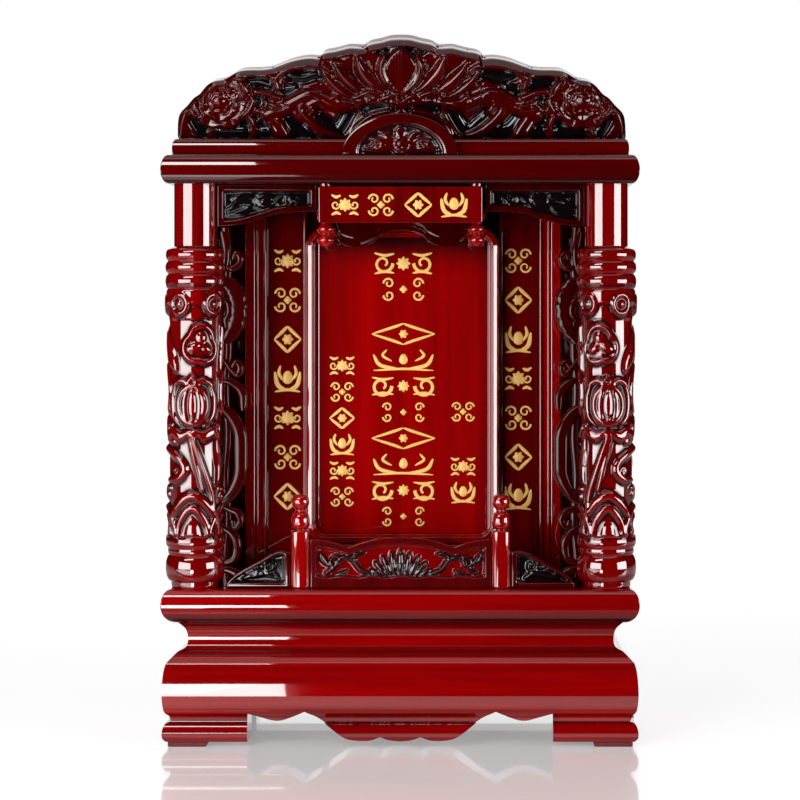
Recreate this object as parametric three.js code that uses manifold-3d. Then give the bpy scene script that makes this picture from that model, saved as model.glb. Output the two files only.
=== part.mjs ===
// Ancestral tablet: a lacquered case on a moulded base, with two carved columns, a leaning
// carved crest, a framed tablet between two tall boards, a low balustrade and a sliding back.
// Millimetres, +Z up, front towards -Y, origin on the floor under the middle of the base.
import * as THREE from "three";
import { mergeVertices } from "three/addons/utils/BufferGeometryUtils.js";
import Module from "manifold-3d";

const wasm = await Module();
wasm.setup();

// Overall sizes and clearances
const baseWidth = 320;
const baseDepth = 160;
const fit = 0.3; // clearance between pieces that meet
const mitreGap = 0.1; // glue line of the mitred base boards
const overrun = 5; // how far a cutting body runs past what it cuts
const quarterSteps = 5; // facets in a quarter round
const spanSteps = 3; // facets between two points of a smooth outline
const roundSides = 24; // facets round a turned piece

// Base
const padHeight = 3.7;
const padSize = 26;
const padInset = 4.3;
const skirtHeight = 78.8;
const skirtReach = 16.3; // from the widest point of the base in to the deepest of the cove
const skirtWall = 12; // wood left behind the cove
const topBoardHeight = 22.8;
const topBoardLowerRound = 10.5;
const topBoardUpperRound = 6;
const topBoardWidestShare = 0.55;
const frontFootWidth = 58; // from the side of the base in to the front apron's cut
const apronRise = 20.3;
const sideFootWidth = 32;
const backFootWidth = 50;
const backApronRise = 12;
const cornerBlockSize = 20;
const cornerBlockHeight = 50;

// Columns
const columnInset = 21; // from the sides and front of the base in to a column's axis
const columnRadius = 20.9;
const columnHeight = 271.7;

// Cornice
const corniceHeight = 19.3;
const corniceRound = 5;
const corniceWidestShare = 0.45;
const slideClearance = 0.6; // from the cornice's rear edge to the sliding back
const stepHeight = 11.3;
const stepSideInset = 6.3;
const stepFrontInset = 10;
const stepRound = 3;

// Crest
const crestLeanDegrees = 22;
const crestHeight = 72.4;
const crestCarvedThickness = 16;
const crestReliefDepth = 5;
const crestBackingThickness = 7.7;
const crestTopInset = 0.2; // from the front of the base back to the crest's top front edge
const braceSpacing = 140;
const braceThickness = 10;
const braceHeight = 45;
const braceFoot = 22;
const medallionHalfWidth = 39;
const medallionHeight = 28;
const medallionFrontInset = 4; // from the front of the base back to the medallion's face

// Header under the cornice
const plaqueOverhang = 4; // from a pendant's axis out to the plaque's end
const plaqueHeight = 24.6;
const plaqueThickness = 6;
const plaqueLeanDegrees = 8;
const pendantSpacing = 102;
const pendantRadius = 5.8;
const pendantHeight = 41.5;
const pendantBackset = 1; // from the columns' axis forward to the pendants' axis
const valanceThickness = 6;
const valanceOverhang = 7; // from a pendant's axis out to the valance's end
const valanceHeight = 42;
const spandrelThickness = 8;
const spandrelHeight = 28.3;
const spandrelBorder = 4;

// Front of the case
const backboardSetback = 66; // from the front of the base back to the board behind the tablet
const backboardThickness = 6;
const sideBay = 57.3; // from the side of the base in to the backboard's end
const tabletHalfWidth = 67;
const tabletTopRoom = 27; // from the tablet's frame up to the cornice
const tabletFrameWidth = 6.7;
const tabletFrameDepth = 19.7;
const tabletPanelDepth = 11.7;
const tabletCornerRadius = 14;
const tabletFrameBevel = 2;
const plinthHeight = 25.4;
const coupletThickness = 5;
const rimWidth = 7.7;
const rimDepth = 7.7;

// Walls and rear
const caseSideThickness = 7;
const caseSideProud = 8; // how far a case side's front edge stands before the backboard
const wallInset = 14; // from the side of the base in to an outer wall
const wallThickness = 8;
const rearLedge = 8; // from the rear of the base in to the stiles
const stileDepth = 28;
const stileLap = 5; // how far a stile reaches in past the case side
const grooveDepth = 8.5;
const slideLip = 6; // from the sliding back to the rear of the stiles
const slideThickness = 6;
const slideGrip = 19; // how far the sliding back stands above the stiles
const fingerNotchRadius = 12;
const sillHeight = 11.7;
const nameBoardSideRoom = 42.7; // from the name board's side to the backboard's end
const nameBoardTopRoom = 31.7; // from the name board up to the cornice
const nameBoardThickness = 4;
const battenWidth = 5.7;
const battenLip = 6;
const battenLipThickness = 2.7;
const battenBottom = 10;

// Balustrade
const railBackset = 14; // from the front of the base back to the posts' axis
const postSpacing = 135;
const postHalfWidth = 6.3;
const postBodyHeight = 39;
const postFinialHeight = 25.3;
const postSeat = 1; // how deep a post's turned head is let into its body
const postChamfer = 1.2;
const railThickness = 6;
const railHeight = 34.4;
const railBorder = 7.5;
const railEndBorder = 4;
const railPanelThickness = 2;
const sideRailHeight = 24.6;
const sideRailEndGap = 0.8; // from the side rail's end to the widest ring of a column

// Openwork wings beside the columns
const wingThickness = 8;
const wingTipOutset = 0.4; // from the case side's inner face out to the tips of a wing
const wingSpineWidth = 5.5;
const wingBar = 4.5;

// Outlines, as shares of the sizes that they follow
const skirtProfileShares = [
  [0.2, 0], [0.08, 0.03], [0.05, 0.075], [0.1, 0.125], [0.2, 0.159], [0.37, 0.159],
  [0.34, 0.207], [0.15, 0.25], [0.08, 0.31], [0.05, 0.4], [0.07, 0.51], [0.12, 0.6],
  [0.2, 0.664], [0.61, 0.747], [0.85, 0.77], [0.98, 0.803], [1, 0.873], [0.9, 0.94],
  [0.64, 1],
];
const apronRunShares = [
  [[0, 0.015], [0.07, 0.06], [0.133, 0.177]],
  [[0.133, 0.177], [0.2, 0.05], [0.28, 0.04], [0.36, 0.13], [0.441, 0.409], [0.529, 0.734],
    [0.627, 1]],
  [[0.627, 1], [0.725, 0.764], [0.814, 0.665], [0.912, 0.778], [1, 0.926]],
];
const columnProfileShares = [
  [1, 0], [1, 0.012], [0.87, 0.016], [0.95, 0.027], [1, 0.0486], [0.95, 0.0725], [0.86, 0.0835],
  [0.8, 0.0946], [0.86, 0.1056], [0.97, 0.11], [0.97, 0.129], [0.87, 0.137], [0.87, 0.6687],
  [0.93, 0.674], [0.93, 0.743], [0.87, 0.7497], [0.97, 0.755], [0.97, 0.778], [0.9, 0.7825],
  [0.97, 0.787], [0.97, 0.815], [0.9, 0.8197], [0.97, 0.824], [0.97, 0.849], [0.7, 0.8545],
  [0.7, 1],
];
const crestRunShares = [
  [[1, 0], [0.985, 0.1], [0.982, 0.18], [0.968, 0.252], [0.941, 0.333], [0.925, 0.393],
    [0.893, 0.454], [0.867, 0.505]],
  [[0.867, 0.505], [0.85, 0.551], [0.812, 0.589], [0.764, 0.598], [0.738, 0.626]],
  [[0.738, 0.626], [0.721, 0.664], [0.689, 0.692], [0.635, 0.697], [0.581, 0.71],
    [0.527, 0.743], [0.475, 0.781], [0.42, 0.809], [0.361, 0.813]],
  [[0.361, 0.813], [0.356, 0.841], [0.324, 0.869], [0.281, 0.869]],
  [[0.281, 0.869], [0.278, 0.888], [0.228, 0.919], [0.174, 0.911]],
  [[0.174, 0.911], [0.163, 0.951], [0.115, 0.957], [0.06, 0.985], [0, 1]],
];
// Piercings of the crest: centre and half sizes as shares, then a tilt in degrees
const crestPiercingShares = [
  [0.416, 0.665, 0.095, 0.07, -6], [0.635, 0.59, 0.075, 0.055, -4], [0.515, 0.51, 0.04, 0.05, 0],
  [0.275, 0.53, 0.04, 0.12, 12], [0.607, 0.465, 0.02, 0.05, 0], [0.638, 0.35, 0.034, 0.06, 0],
  [0.89, 0.16, 0.038, 0.13, -8], [0.76, 0.1, 0.07, 0.09, 0], [0.6, 0.1, 0.04, 0.09, 0],
  [0.47, 0.13, 0.075, 0.08, 24], [0.33, 0.2, 0.05, 0.1, -20],
];
// Raised petals of the lotus: centre, half sizes and tilt
const lotusPetalShares = [
  [0, 0.72, 0.045, 0.2, 0], [0.075, 0.68, 0.04, 0.18, -22], [0.15, 0.64, 0.04, 0.17, -45],
  [0.225, 0.61, 0.035, 0.16, -64], [0.06, 0.48, 0.07, 0.06, 0], [0.15, 0.5, 0.06, 0.05, 10],
];
const flowerCentreShares = [0.813, 0.38];
const flowerRadiusShare = 0.1;
const flowerLobes = 5;
const flowerLobeShare = 0.16;
const pendantProfileShares = [
  [0.72, 1], [0.72, 0.62], [0.9, 0.58], [1, 0.5], [0.9, 0.43], [0.62, 0.41], [0.62, 0.36],
  [0.95, 0.33], [1, 0.27], [0.95, 0.21], [0.62, 0.19], [0.8, 0.14], [1, 0.09], [0.7, 0],
];
const valanceRunShares = [
  [[1, 0.45], [0.88, 0.42], [0.77, 0.28]],
  [[0.77, 0.28], [0.72, 0.08], [0.52, 0], [0.33, 0.09], [0.25, 0.2]],
  [[0.25, 0.2], [0.12, 0.26], [0, 0.28]],
];
const spandrelDropShares = [
  [0, 0.37], [0.18, 0.35], [0.38, 0.32], [0.55, 0.2], [0.72, 0.08], [0.85, 0.02], [1, 0],
];
const railTopShares = [
  [[0, 1], [0.25, 0.97], [0.45, 0.88], [0.58, 0.8]],
  [[0.58, 0.8], [0.7, 0.87], [0.85, 0.93], [1, 0.95]],
];
const sideRailTopShares = [
  [0, 0.98], [0.2, 1], [0.45, 0.78], [0.62, 0.62], [0.75, 0.5], [0.9, 0.32], [1, 0.12],
];
const finialProfileShares = [
  [0.8, 0], [0.62, 0.04], [0.85, 0.1], [1, 0.27], [0.9, 0.45], [0.55, 0.54], [0.55, 0.6],
  [0.85, 0.68], [0.95, 0.8], [0.75, 0.94], [0, 1],
];
// Rings and curls of a wing: centre across and up, half sizes, tilt, and whether it is open
const wingRingShares = [
  [0.4, 0.852, 0.42, 0.05, 0, true], [0.66, 0.795, 0.3, 0.028, 0, false],
  [0.35, 0.735, 0.62, 0.072, 0, false], [0.45, 0.635, 0.5, 0.045, 0, true],
  [0.6, 0.557, 0.36, 0.028, 0, false], [0.4, 0.505, 0.56, 0.036, 0, true],
  [0.42, 0.37, 0.58, 0.105, 0, true], [0.5, 0.205, 0.42, 0.03, 0, false],
  [0.3, 0.135, 0.46, 0.047, 0, true], [0.3, 0.05, 0.5, 0.05, 0, false],
];

// Levels and places worked out from the sizes
const skirtTop = padHeight + skirtHeight;
const baseTop = skirtTop + topBoardHeight;
const corniceBottom = baseTop + columnHeight;
const corniceTop = corniceBottom + corniceHeight;
const stepTop = corniceTop + stepHeight;
const frontY = -baseDepth / 2;
const apronHalfSpan = baseWidth / 2 - frontFootWidth;
const sideApronHalfSpan = baseDepth / 2 - sideFootWidth;
const backApronHalfSpan = baseWidth / 2 - backFootWidth;
const crestHalfWidth = baseWidth / 2 - stepSideInset;
const columnX = baseWidth / 2 - columnInset;
const columnY = frontY + columnInset;
const stileRear = baseDepth / 2 - rearLedge;
const stileFront = stileRear - stileDepth;
const slideFront = stileRear - slideLip - slideThickness;
const corniceRear = slideFront - slideClearance;
const wallOutset = baseWidth / 2 - wallInset;
const skirtInside = skirtReach + skirtWall;
const lean = THREE.MathUtils.degToRad(crestLeanDegrees);
const crestThickness = crestCarvedThickness + fit + crestBackingThickness;
const crestLength = (crestHeight - crestThickness * Math.sin(lean)) / Math.cos(lean);
const crestFootY = frontY + crestTopInset + crestLength * Math.sin(lean);
const backboardFront = frontY + backboardSetback;
const backboardRear = backboardFront + backboardThickness;
const backboardHalfWidth = baseWidth / 2 - sideBay;
const caseSideInner = backboardHalfWidth + fit;
const stileInnerHalf = caseSideInner - stileLap;
const wingInnerHalf = caseSideInner + wingTipOutset;
const tabletHeight = columnHeight - plinthHeight - fit - tabletTopRoom;
const nameBoardHalfWidth = backboardHalfWidth - nameBoardSideRoom;
const nameBoardHeight = columnHeight - nameBoardTopRoom;
const pendantX = pendantSpacing / 2;
const plaqueHalfWidth = pendantX + plaqueOverhang;
const valanceHalfWidth = pendantX + valanceOverhang;
const pendantY = columnY - pendantBackset;
const railY = frontY + railBackset;
const postX = postSpacing / 2;
const coupletInner = tabletHalfWidth + fit;
const rimOuter = backboardHalfWidth;
const rimInner = rimOuter - rimWidth;
const shaftRadius = columnRadius * columnProfileShares.at(-1)[0];

// Materials
const lacquer = { color: 0x7a0508, roughness: 0.14, metalness: 0 };
const darkLacquer = { color: 0x1c0404, roughness: 0.18, metalness: 0 };
const plainWood = { color: 0x6b3a22, roughness: 0.6, metalness: 0 };
const padMaterial = { color: 0x1a1414, roughness: 0.9, metalness: 0 };

// A three.js geometry as a solid that can be cut and joined
function solidOf(geometry) {
  const bare = geometry.clone();
  bare.deleteAttribute("normal");
  bare.deleteAttribute("uv");
  const merged = mergeVertices(bare);
  const mesh = new wasm.Mesh({
    numProp: 3,
    vertProperties: merged.attributes.position.array,
    triVerts: new Uint32Array(merged.index.array),
  });
  return new wasm.Manifold(mesh);
}

// A solid back as a three.js geometry
function geometryOf(solid) {
  const mesh = solid.getMesh();
  const geometry = new THREE.BufferGeometry();
  geometry.setAttribute("position", new THREE.BufferAttribute(mesh.vertProperties, 3));
  geometry.setIndex(new THREE.BufferAttribute(mesh.triVerts, 1));
  geometry.computeVertexNormals();
  return geometry;
}

function joined(solids) {
  return solids.reduce((sum, next) => sum.add(next));
}

// A box between two corners
function boxSolid(low, high) {
  const size = high.map((value, axis) => value - low[axis]);
  const box = new THREE.BoxGeometry(...size);
  box.translate(...low.map((value, axis) => value + size[axis] / 2));
  return solidOf(box);
}

// Points as vectors that run anticlockwise, whichever way they were given
function vectorLoop(points) {
  const loop = points.map(([a, b]) => new THREE.Vector2(a, b));
  return THREE.ShapeUtils.isClockWise(loop) ? loop.reverse() : loop;
}

function extruded(points, length, holes = []) {
  const shape = new THREE.Shape(vectorLoop(points));
  shape.holes = holes.map((hole) => new THREE.Path(vectorLoop(hole).reverse()));
  return new THREE.ExtrudeGeometry(shape, { depth: length, bevelEnabled: false });
}

// An outline drawn on the front (X, Z), as thick as the stretch of Y given
function frontSolid(points, low, high, holes = []) {
  const geometry = extruded(points, high - low, holes);
  geometry.rotateX(Math.PI / 2);
  geometry.translate(0, high, 0);
  return solidOf(geometry);
}

// An outline drawn on the side (Y, Z), as wide as the stretch of X given
function sideSolid(points, low, high) {
  const geometry = extruded(points, high - low);
  const axes = new THREE.Matrix4().makeBasis(
    new THREE.Vector3(0, 1, 0),
    new THREE.Vector3(0, 0, 1),
    new THREE.Vector3(1, 0, 0),
  );
  geometry.applyMatrix4(axes);
  geometry.translate(low, 0, 0);
  return solidOf(geometry);
}

// An outline drawn on the plan (X, Y), as tall as the stretch of Z given
function planSolid(points, low, high, holes = []) {
  const geometry = extruded(points, high - low, holes);
  geometry.translate(0, 0, low);
  return solidOf(geometry);
}

// A turned piece from its profile, given as shares of a radius and a height
function turnedSolid(profileShares, radius, height, grow = 0) {
  const rising = profileShares[0][1] <= profileShares.at(-1)[1];
  const shares = rising ? profileShares : [...profileShares].reverse();
  const points = shares.map(([r, z]) => new THREE.Vector2(r * radius + (r > 0 ? grow : 0), z * height));
  if (points[0].x > 0) points.unshift(new THREE.Vector2(0, points[0].y));
  if (points.at(-1).x > 0) points.push(new THREE.Vector2(0, points.at(-1).y));
  const geometry = new THREE.LatheGeometry(points, roundSides);
  geometry.rotateX(Math.PI / 2);
  return solidOf(geometry);
}

// Runs of points, each run smooth and its ends left as cusps
function smoothRuns(runs, across, up) {
  const line = [];
  for (const run of runs) {
    const curve = new THREE.SplineCurve(run.map(([a, b]) => new THREE.Vector2(a * across, b * up)));
    const points = curve.getPoints((run.length - 1) * spanSteps);
    for (const point of points.slice(line.length ? 1 : 0)) line.push([point.x, point.y]);
  }
  return line;
}

// Half an outline, its first or last point on the middle line, with its mirror image
function bothHalves(half) {
  const mirrored = half.map(([a, b]) => [-a, b]).reverse();
  const outward = half[0][0] === 0;
  return outward ? [...mirrored, ...half.slice(1)] : [...half, ...mirrored.slice(1)];
}

function ellipse(a, b, halfA, halfB, tiltDegrees, sides) {
  const tilt = THREE.MathUtils.degToRad(tiltDegrees);
  const points = [];
  for (let i = 0; i < sides; i += 1) {
    const turn = (2 * Math.PI * i) / sides;
    const p = halfA * Math.cos(turn);
    const q = halfB * Math.sin(turn);
    points.push([a + p * Math.cos(tilt) - q * Math.sin(tilt), b + p * Math.sin(tilt) + q * Math.cos(tilt)]);
  }
  return points;
}

function roundedRectangle(halfWidth, bottom, top, radius) {
  const points = [];
  const corners = [
    [halfWidth - radius, bottom + radius, -1], [halfWidth - radius, top - radius, 0],
    [-halfWidth + radius, top - radius, 1], [-halfWidth + radius, bottom + radius, 2],
  ];
  for (const [x, z, quarter] of corners) {
    for (let i = 0; i <= quarterSteps; i += 1) {
      const turn = ((quarter + i / quarterSteps) * Math.PI) / 2;
      points.push([x + radius * Math.cos(turn), z + radius * Math.sin(turn)]);
    }
  }
  return points;
}

// A board's rounded edge as [inset, height]: two quarter ellipses that meet at the widest point
function roundedEdge(lowerRound, upperRound, height, widestShare) {
  const edge = [];
  for (let i = 0; i <= quarterSteps; i += 1) {
    const turn = ((i / quarterSteps) * Math.PI) / 2;
    edge.push([lowerRound * (1 - Math.sin(turn)), height * widestShare * (1 - Math.cos(turn))]);
  }
  for (let i = 1; i <= quarterSteps; i += 1) {
    const turn = ((i / quarterSteps) * Math.PI) / 2;
    edge.push([
      upperRound * (1 - Math.cos(turn)),
      height * (widestShare + (1 - widestShare) * Math.sin(turn)),
    ]);
  }
  return edge;
}

// A block with the same moulded edge on all four sides, mitred at its corners
function mouldedBlock(edge, width, depth, bottom) {
  const outline = (size) => [
    ...edge.map(([inset, z]) => [size / 2 - inset, bottom + z]),
    ...[...edge].reverse().map(([inset, z]) => [inset - size / 2, bottom + z]),
  ];
  const across = frontSolid(outline(width), -depth, depth);
  const along = sideSolid(outline(depth), -width, width);
  return across.intersect(along);
}

const group = new THREE.Group();
group.name = "ancestral_tablet";

function addMesh(name, solid, finish, parent = group) {
  const mesh = new THREE.Mesh(geometryOf(solid), new THREE.MeshStandardMaterial(finish));
  mesh.name = name;
  parent.add(mesh);
  return mesh;
}

// Calls a maker for the left side (-1) and the right side (1)
function bothSides(maker) {
  maker("left", -1);
  maker("right", 1);
}

// Lets an outline or box be given for the right side and made on either
function sideBox(side, inner, outer, lowY, highY, lowZ, highZ) {
  const xs = [side * inner, side * outer].sort((a, b) => a - b);
  return boxSolid([xs[0], lowY, lowZ], [xs[1], highY, highZ]);
}

// Wavy cut under a board: centred, from foot to foot
function apronCut(halfSpan, rise) {
  const half = smoothRuns(apronRunShares, halfSpan, rise);
  const curve = bothHalves(half).map(([a, b]) => [a, padHeight + b]);
  return [[-halfSpan, -overrun], ...curve, [halfSpan, -overrun]];
}

// Base: four mitred boards round a hollow, a rounded top board, blocks and pads
function makeBase() {
  const edge = skirtProfileShares.map(([a, b]) => [a * skirtReach, b * skirtHeight]);
  const block = mouldedBlock(edge, baseWidth, baseDepth, padHeight);
  const hollowX = baseWidth / 2 - skirtInside;
  const hollowY = baseDepth / 2 - skirtInside;
  const hollow = boxSolid([-hollowX, -hollowY, -overrun], [hollowX, hollowY, skirtTop + overrun]);
  const ring = block.subtract(hollow);
  const far = overrun;
  const reach = skirtInside + overrun;
  const wedge = (cornerX, cornerY, alongX) => {
    const outX = cornerX + far;
    const outY = cornerY + far;
    const inX = cornerX - reach;
    const inY = cornerY - reach;
    const slip = mitreGap;
    return alongX
      ? [[-outX + slip, -outY], [outX - slip, -outY], [inX - slip, -inY], [-inX + slip, -inY]]
      : [[outX, -outY + slip], [outX, outY - slip], [inX, inY - slip], [inX, -inY + slip]];
  };
  const halfX = baseWidth / 2;
  const halfY = baseDepth / 2;
  const frontWedge = wedge(halfX, halfY, true);
  const rightWedge = wedge(halfX, halfY, false);
  const flip = (points, signX, signY) => points.map(([x, y]) => [x * signX, y * signY]);
  const board = (points) => ring.intersect(planSolid(points, -overrun, skirtTop + overrun));
  const frontCut = frontSolid(apronCut(apronHalfSpan, apronRise), -baseDepth, -hollowY + overrun);
  const backCut = boxSolid(
    [-backApronHalfSpan, hollowY - overrun, -overrun],
    [backApronHalfSpan, baseDepth, padHeight + backApronRise],
  );
  const sideCut = sideSolid(apronCut(sideApronHalfSpan, apronRise), -baseWidth, baseWidth);
  addMesh("base_front_board", board(frontWedge).subtract(frontCut), lacquer);
  addMesh("base_back_board", board(flip(frontWedge, 1, -1)).subtract(backCut), lacquer);
  bothSides((word, side) => {
    addMesh(`base_${word}_board`, board(flip(rightWedge, side, 1)).subtract(sideCut), lacquer);
  });

  const topEdge = roundedEdge(
    topBoardLowerRound, topBoardUpperRound, topBoardHeight, topBoardWidestShare,
  );
  addMesh("base_top_board", mouldedBlock(topEdge, baseWidth, baseDepth, skirtTop), lacquer);

  for (const [endWord, signY] of [["front", -1], ["rear", 1]]) {
    bothSides((word, signX) => {
      const padX = signX * (halfX - padInset - padSize / 2);
      const padY = signY * (halfY - padInset - padSize / 2);
      const pad = boxSolid(
        [padX - padSize / 2, padY - padSize / 2, 0],
        [padX + padSize / 2, padY + padSize / 2, padHeight],
      );
      addMesh(`foot_pad_${endWord}_${word}`, pad, padMaterial);
      const blockX = signX * (hollowX - fit - cornerBlockSize / 2);
      const blockY = signY * (hollowY - fit - cornerBlockSize / 2);
      const glued = boxSolid(
        [blockX - cornerBlockSize / 2, blockY - cornerBlockSize / 2, skirtTop - cornerBlockHeight],
        [blockX + cornerBlockSize / 2, blockY + cornerBlockSize / 2, skirtTop],
      );
      addMesh(`corner_block_${endWord}_${word}`, glued, plainWood);
    });
  }
}

function makeColumns() {
  bothSides((word, side) => {
    const solid = turnedSolid(columnProfileShares, columnRadius, columnHeight);
    const mesh = addMesh(`column_${word}`, solid, lacquer);
    mesh.position.set(side * columnX, columnY, baseTop);
  });
}

// The space that a column takes up with its clearance, for what is cut to fit round it
function columnSpace(side) {
  const solid = turnedSolid(columnProfileShares, columnRadius, columnHeight, fit);
  return solid.translate([side * columnX, columnY, baseTop]);
}

function makeCornice() {
  const behind = (solid) => solid.intersect(boxSolid(
    [-baseWidth, -baseDepth, corniceBottom - overrun],
    [baseWidth, corniceRear, stepTop + overrun],
  ));
  const edge = roundedEdge(corniceRound, corniceRound, corniceHeight, corniceWidestShare);
  const deep = 2 * baseDepth;
  const board = mouldedBlock(edge, baseWidth, deep, corniceBottom);
  const forward = deep / 2 - baseDepth / 2;
  addMesh("cornice_board", behind(board.translate([0, forward, 0])), lacquer);

  const stepEdge = roundedEdge(0, stepRound, stepHeight, corniceWidestShare).slice(quarterSteps);
  stepEdge.unshift([0, 0]);
  const stepWidth = baseWidth - 2 * stepSideInset;
  const step = mouldedBlock(stepEdge, stepWidth, deep, corniceTop);
  addMesh("cornice_step_board", behind(step.translate([0, forward + stepFrontInset, 0])), lacquer);
}

// Crest: a carved board and its backing, in a frame that leans forward from its front foot
function makeCrest() {
  const leaning = new THREE.Group();
  leaning.position.set(0, crestFootY, stepTop);
  leaning.rotation.x = lean;
  group.add(leaning);

  const under = crestThickness * Math.tan(lean) + overrun;
  const half = smoothRuns(crestRunShares, crestHalfWidth, crestLength);
  const outline = [
    ...bothHalves(half),
    [-crestHalfWidth, -under],
    [crestHalfWidth, -under],
  ];
  const floorBlock = new THREE.BoxGeometry(2 * baseWidth, baseDepth, 2 * under);
  floorBlock.translate(0, 0, fit - under);
  floorBlock.rotateX(-lean);
  const floor = solidOf(floorBlock);
  const onStep = (solid) => solid.subtract(floor);

  const bothWays = (shares) => (shares[0] === 0 ? [1] : [-1, 1]).map((side) => {
    const [a, b, halfA, halfB, tilt] = shares;
    return ellipse(
      side * a * crestHalfWidth, b * crestLength, halfA * crestHalfWidth, halfB * crestLength,
      side * tilt, 2 * quarterSteps,
    );
  });
  const slab = frontSolid(outline, crestReliefDepth, crestCarvedThickness);
  const piercings = crestPiercingShares.flatMap(bothWays).map((points) =>
    frontSolid(points, -overrun, crestCarvedThickness + overrun));
  const petals = lotusPetalShares.flatMap(bothWays).map((points) =>
    frontSolid(points, 0, crestCarvedThickness));
  const flowers = [-1, 1].map((side) => {
    const points = [];
    const sides = flowerLobes * quarterSteps;
    for (let i = 0; i < sides; i += 1) {
      const turn = (2 * Math.PI * i) / sides;
      const lobe = 1 - flowerLobeShare * Math.abs(Math.sin((flowerLobes * turn) / 2));
      const radius = flowerRadiusShare * crestHalfWidth * lobe;
      points.push([
        side * flowerCentreShares[0] * crestHalfWidth + radius * Math.cos(turn),
        flowerCentreShares[1] * crestLength + radius * Math.sin(turn),
      ]);
    }
    return frontSolid(points, 0, crestCarvedThickness);
  });
  const carved = joined([slab.subtract(joined(piercings)), ...petals, ...flowers]);
  addMesh("crest_board", onStep(carved), lacquer, leaning);
  const backing = frontSolid(outline, crestCarvedThickness + fit, crestThickness);
  addMesh("crest_backing", onStep(backing), darkLacquer, leaning);

  // Level with the step, the crest's rear face starts this far behind its front foot
  const rearFoot = crestFootY + (crestThickness + fit) / Math.cos(lean);
  const wedge = [
    [rearFoot, stepTop],
    [rearFoot + braceFoot, stepTop],
    [rearFoot - braceHeight * Math.tan(lean), stepTop + braceHeight],
  ];
  bothSides((word, side) => {
    const middle = (side * braceSpacing) / 2;
    const brace = sideSolid(wedge, middle - braceThickness / 2, middle + braceThickness / 2);
    addMesh(`crest_brace_${word}`, brace, plainWood);
  });

  // Medallion: an arched block before the crest that laps over the step board
  const arch = ellipse(0, corniceTop, medallionHalfWidth, medallionHeight, 0, 8 * quarterSteps)
    .filter(([, z]) => z > corniceTop - fit);
  const face = frontY + medallionFrontInset;
  const block = frontSolid(arch, face, crestFootY);
  const stepSpace = boxSolid(
    [-baseWidth, frontY + stepFrontInset - fit, corniceBottom],
    [baseWidth, baseDepth, stepTop + fit],
  );
  const crestSpaceBox = new THREE.BoxGeometry(2 * baseWidth, baseDepth, 2 * baseWidth);
  crestSpaceBox.translate(0, baseDepth / 2 - fit, 0);
  crestSpaceBox.rotateX(lean);
  crestSpaceBox.translate(0, crestFootY, stepTop);
  const below = boxSolid([-baseWidth, -baseDepth, corniceBottom], [baseWidth, baseDepth, corniceTop + fit]);
  const medallion = block.subtract(stepSpace).subtract(solidOf(crestSpaceBox)).subtract(below);
  addMesh("crest_medallion", medallion, lacquer);
}

function makeHeader() {
  const plaqueFrame = new THREE.Group();
  const plaqueLean = THREE.MathUtils.degToRad(plaqueLeanDegrees);
  const tall = plaqueHeight * Math.cos(plaqueLean) + plaqueThickness * Math.sin(plaqueLean);
  plaqueFrame.position.set(0, pendantY - pendantRadius - fit, corniceBottom - fit - tall);
  plaqueFrame.rotation.x = plaqueLean;
  group.add(plaqueFrame);
  const plaque = boxSolid(
    [-plaqueHalfWidth, -plaqueThickness, 0],
    [plaqueHalfWidth, 0, plaqueHeight],
  );
  addMesh("name_plaque", plaque, lacquer, plaqueFrame);

  bothSides((word, side) => {
    const pendant = turnedSolid(pendantProfileShares, pendantRadius, pendantHeight);
    const mesh = addMesh(`pendant_${word}`, pendant, lacquer);
    mesh.position.set(side * pendantX, pendantY, corniceBottom - pendantHeight);
  });

  const valanceFront = pendantY + pendantRadius + fit;
  const lower = smoothRuns(valanceRunShares, valanceHalfWidth, valanceHeight);
  const line = bothHalves(lower).map(([a, b]) => [a, corniceBottom - valanceHeight + b]);
  const outline = [...line, [-valanceHalfWidth, corniceBottom], [valanceHalfWidth, corniceBottom]];
  addMesh("valance", frontSolid(outline, valanceFront, valanceFront + valanceThickness), darkLacquer);

  const inner = pendantX + pendantRadius + fit;
  const outer = columnX - shaftRadius - fit;
  const length = outer - inner;
  const front = pendantY - spandrelThickness / 2;
  bothSides((word, side) => {
    const place = ([a, b]) => [side * (inner + a * length), corniceBottom - spandrelHeight * (1 - b)];
    const drop = smoothRuns([spandrelDropShares], 1, 1).map(place);
    const board = [...drop, place([1, 1]), place([0, 1])];
    const border = spandrelBorder / spandrelHeight;
    const sill = smoothRuns([spandrelDropShares], 1, 1)
      .filter(([a]) => a * length > spandrelBorder && (1 - a) * length > spandrelBorder)
      .map(([a, b]) => place([a, b + border]));
    const head = [1 - spandrelBorder / length, spandrelBorder / length]
      .map((a) => place([a, 1 - border]));
    const window = frontSolid([...sill, ...head], front - overrun, front + spandrelThickness / 2);
    const solid = frontSolid(board, front, front + spandrelThickness).subtract(window);
    addMesh(`spandrel_${word}`, solid, lacquer);
  });
}

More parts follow.
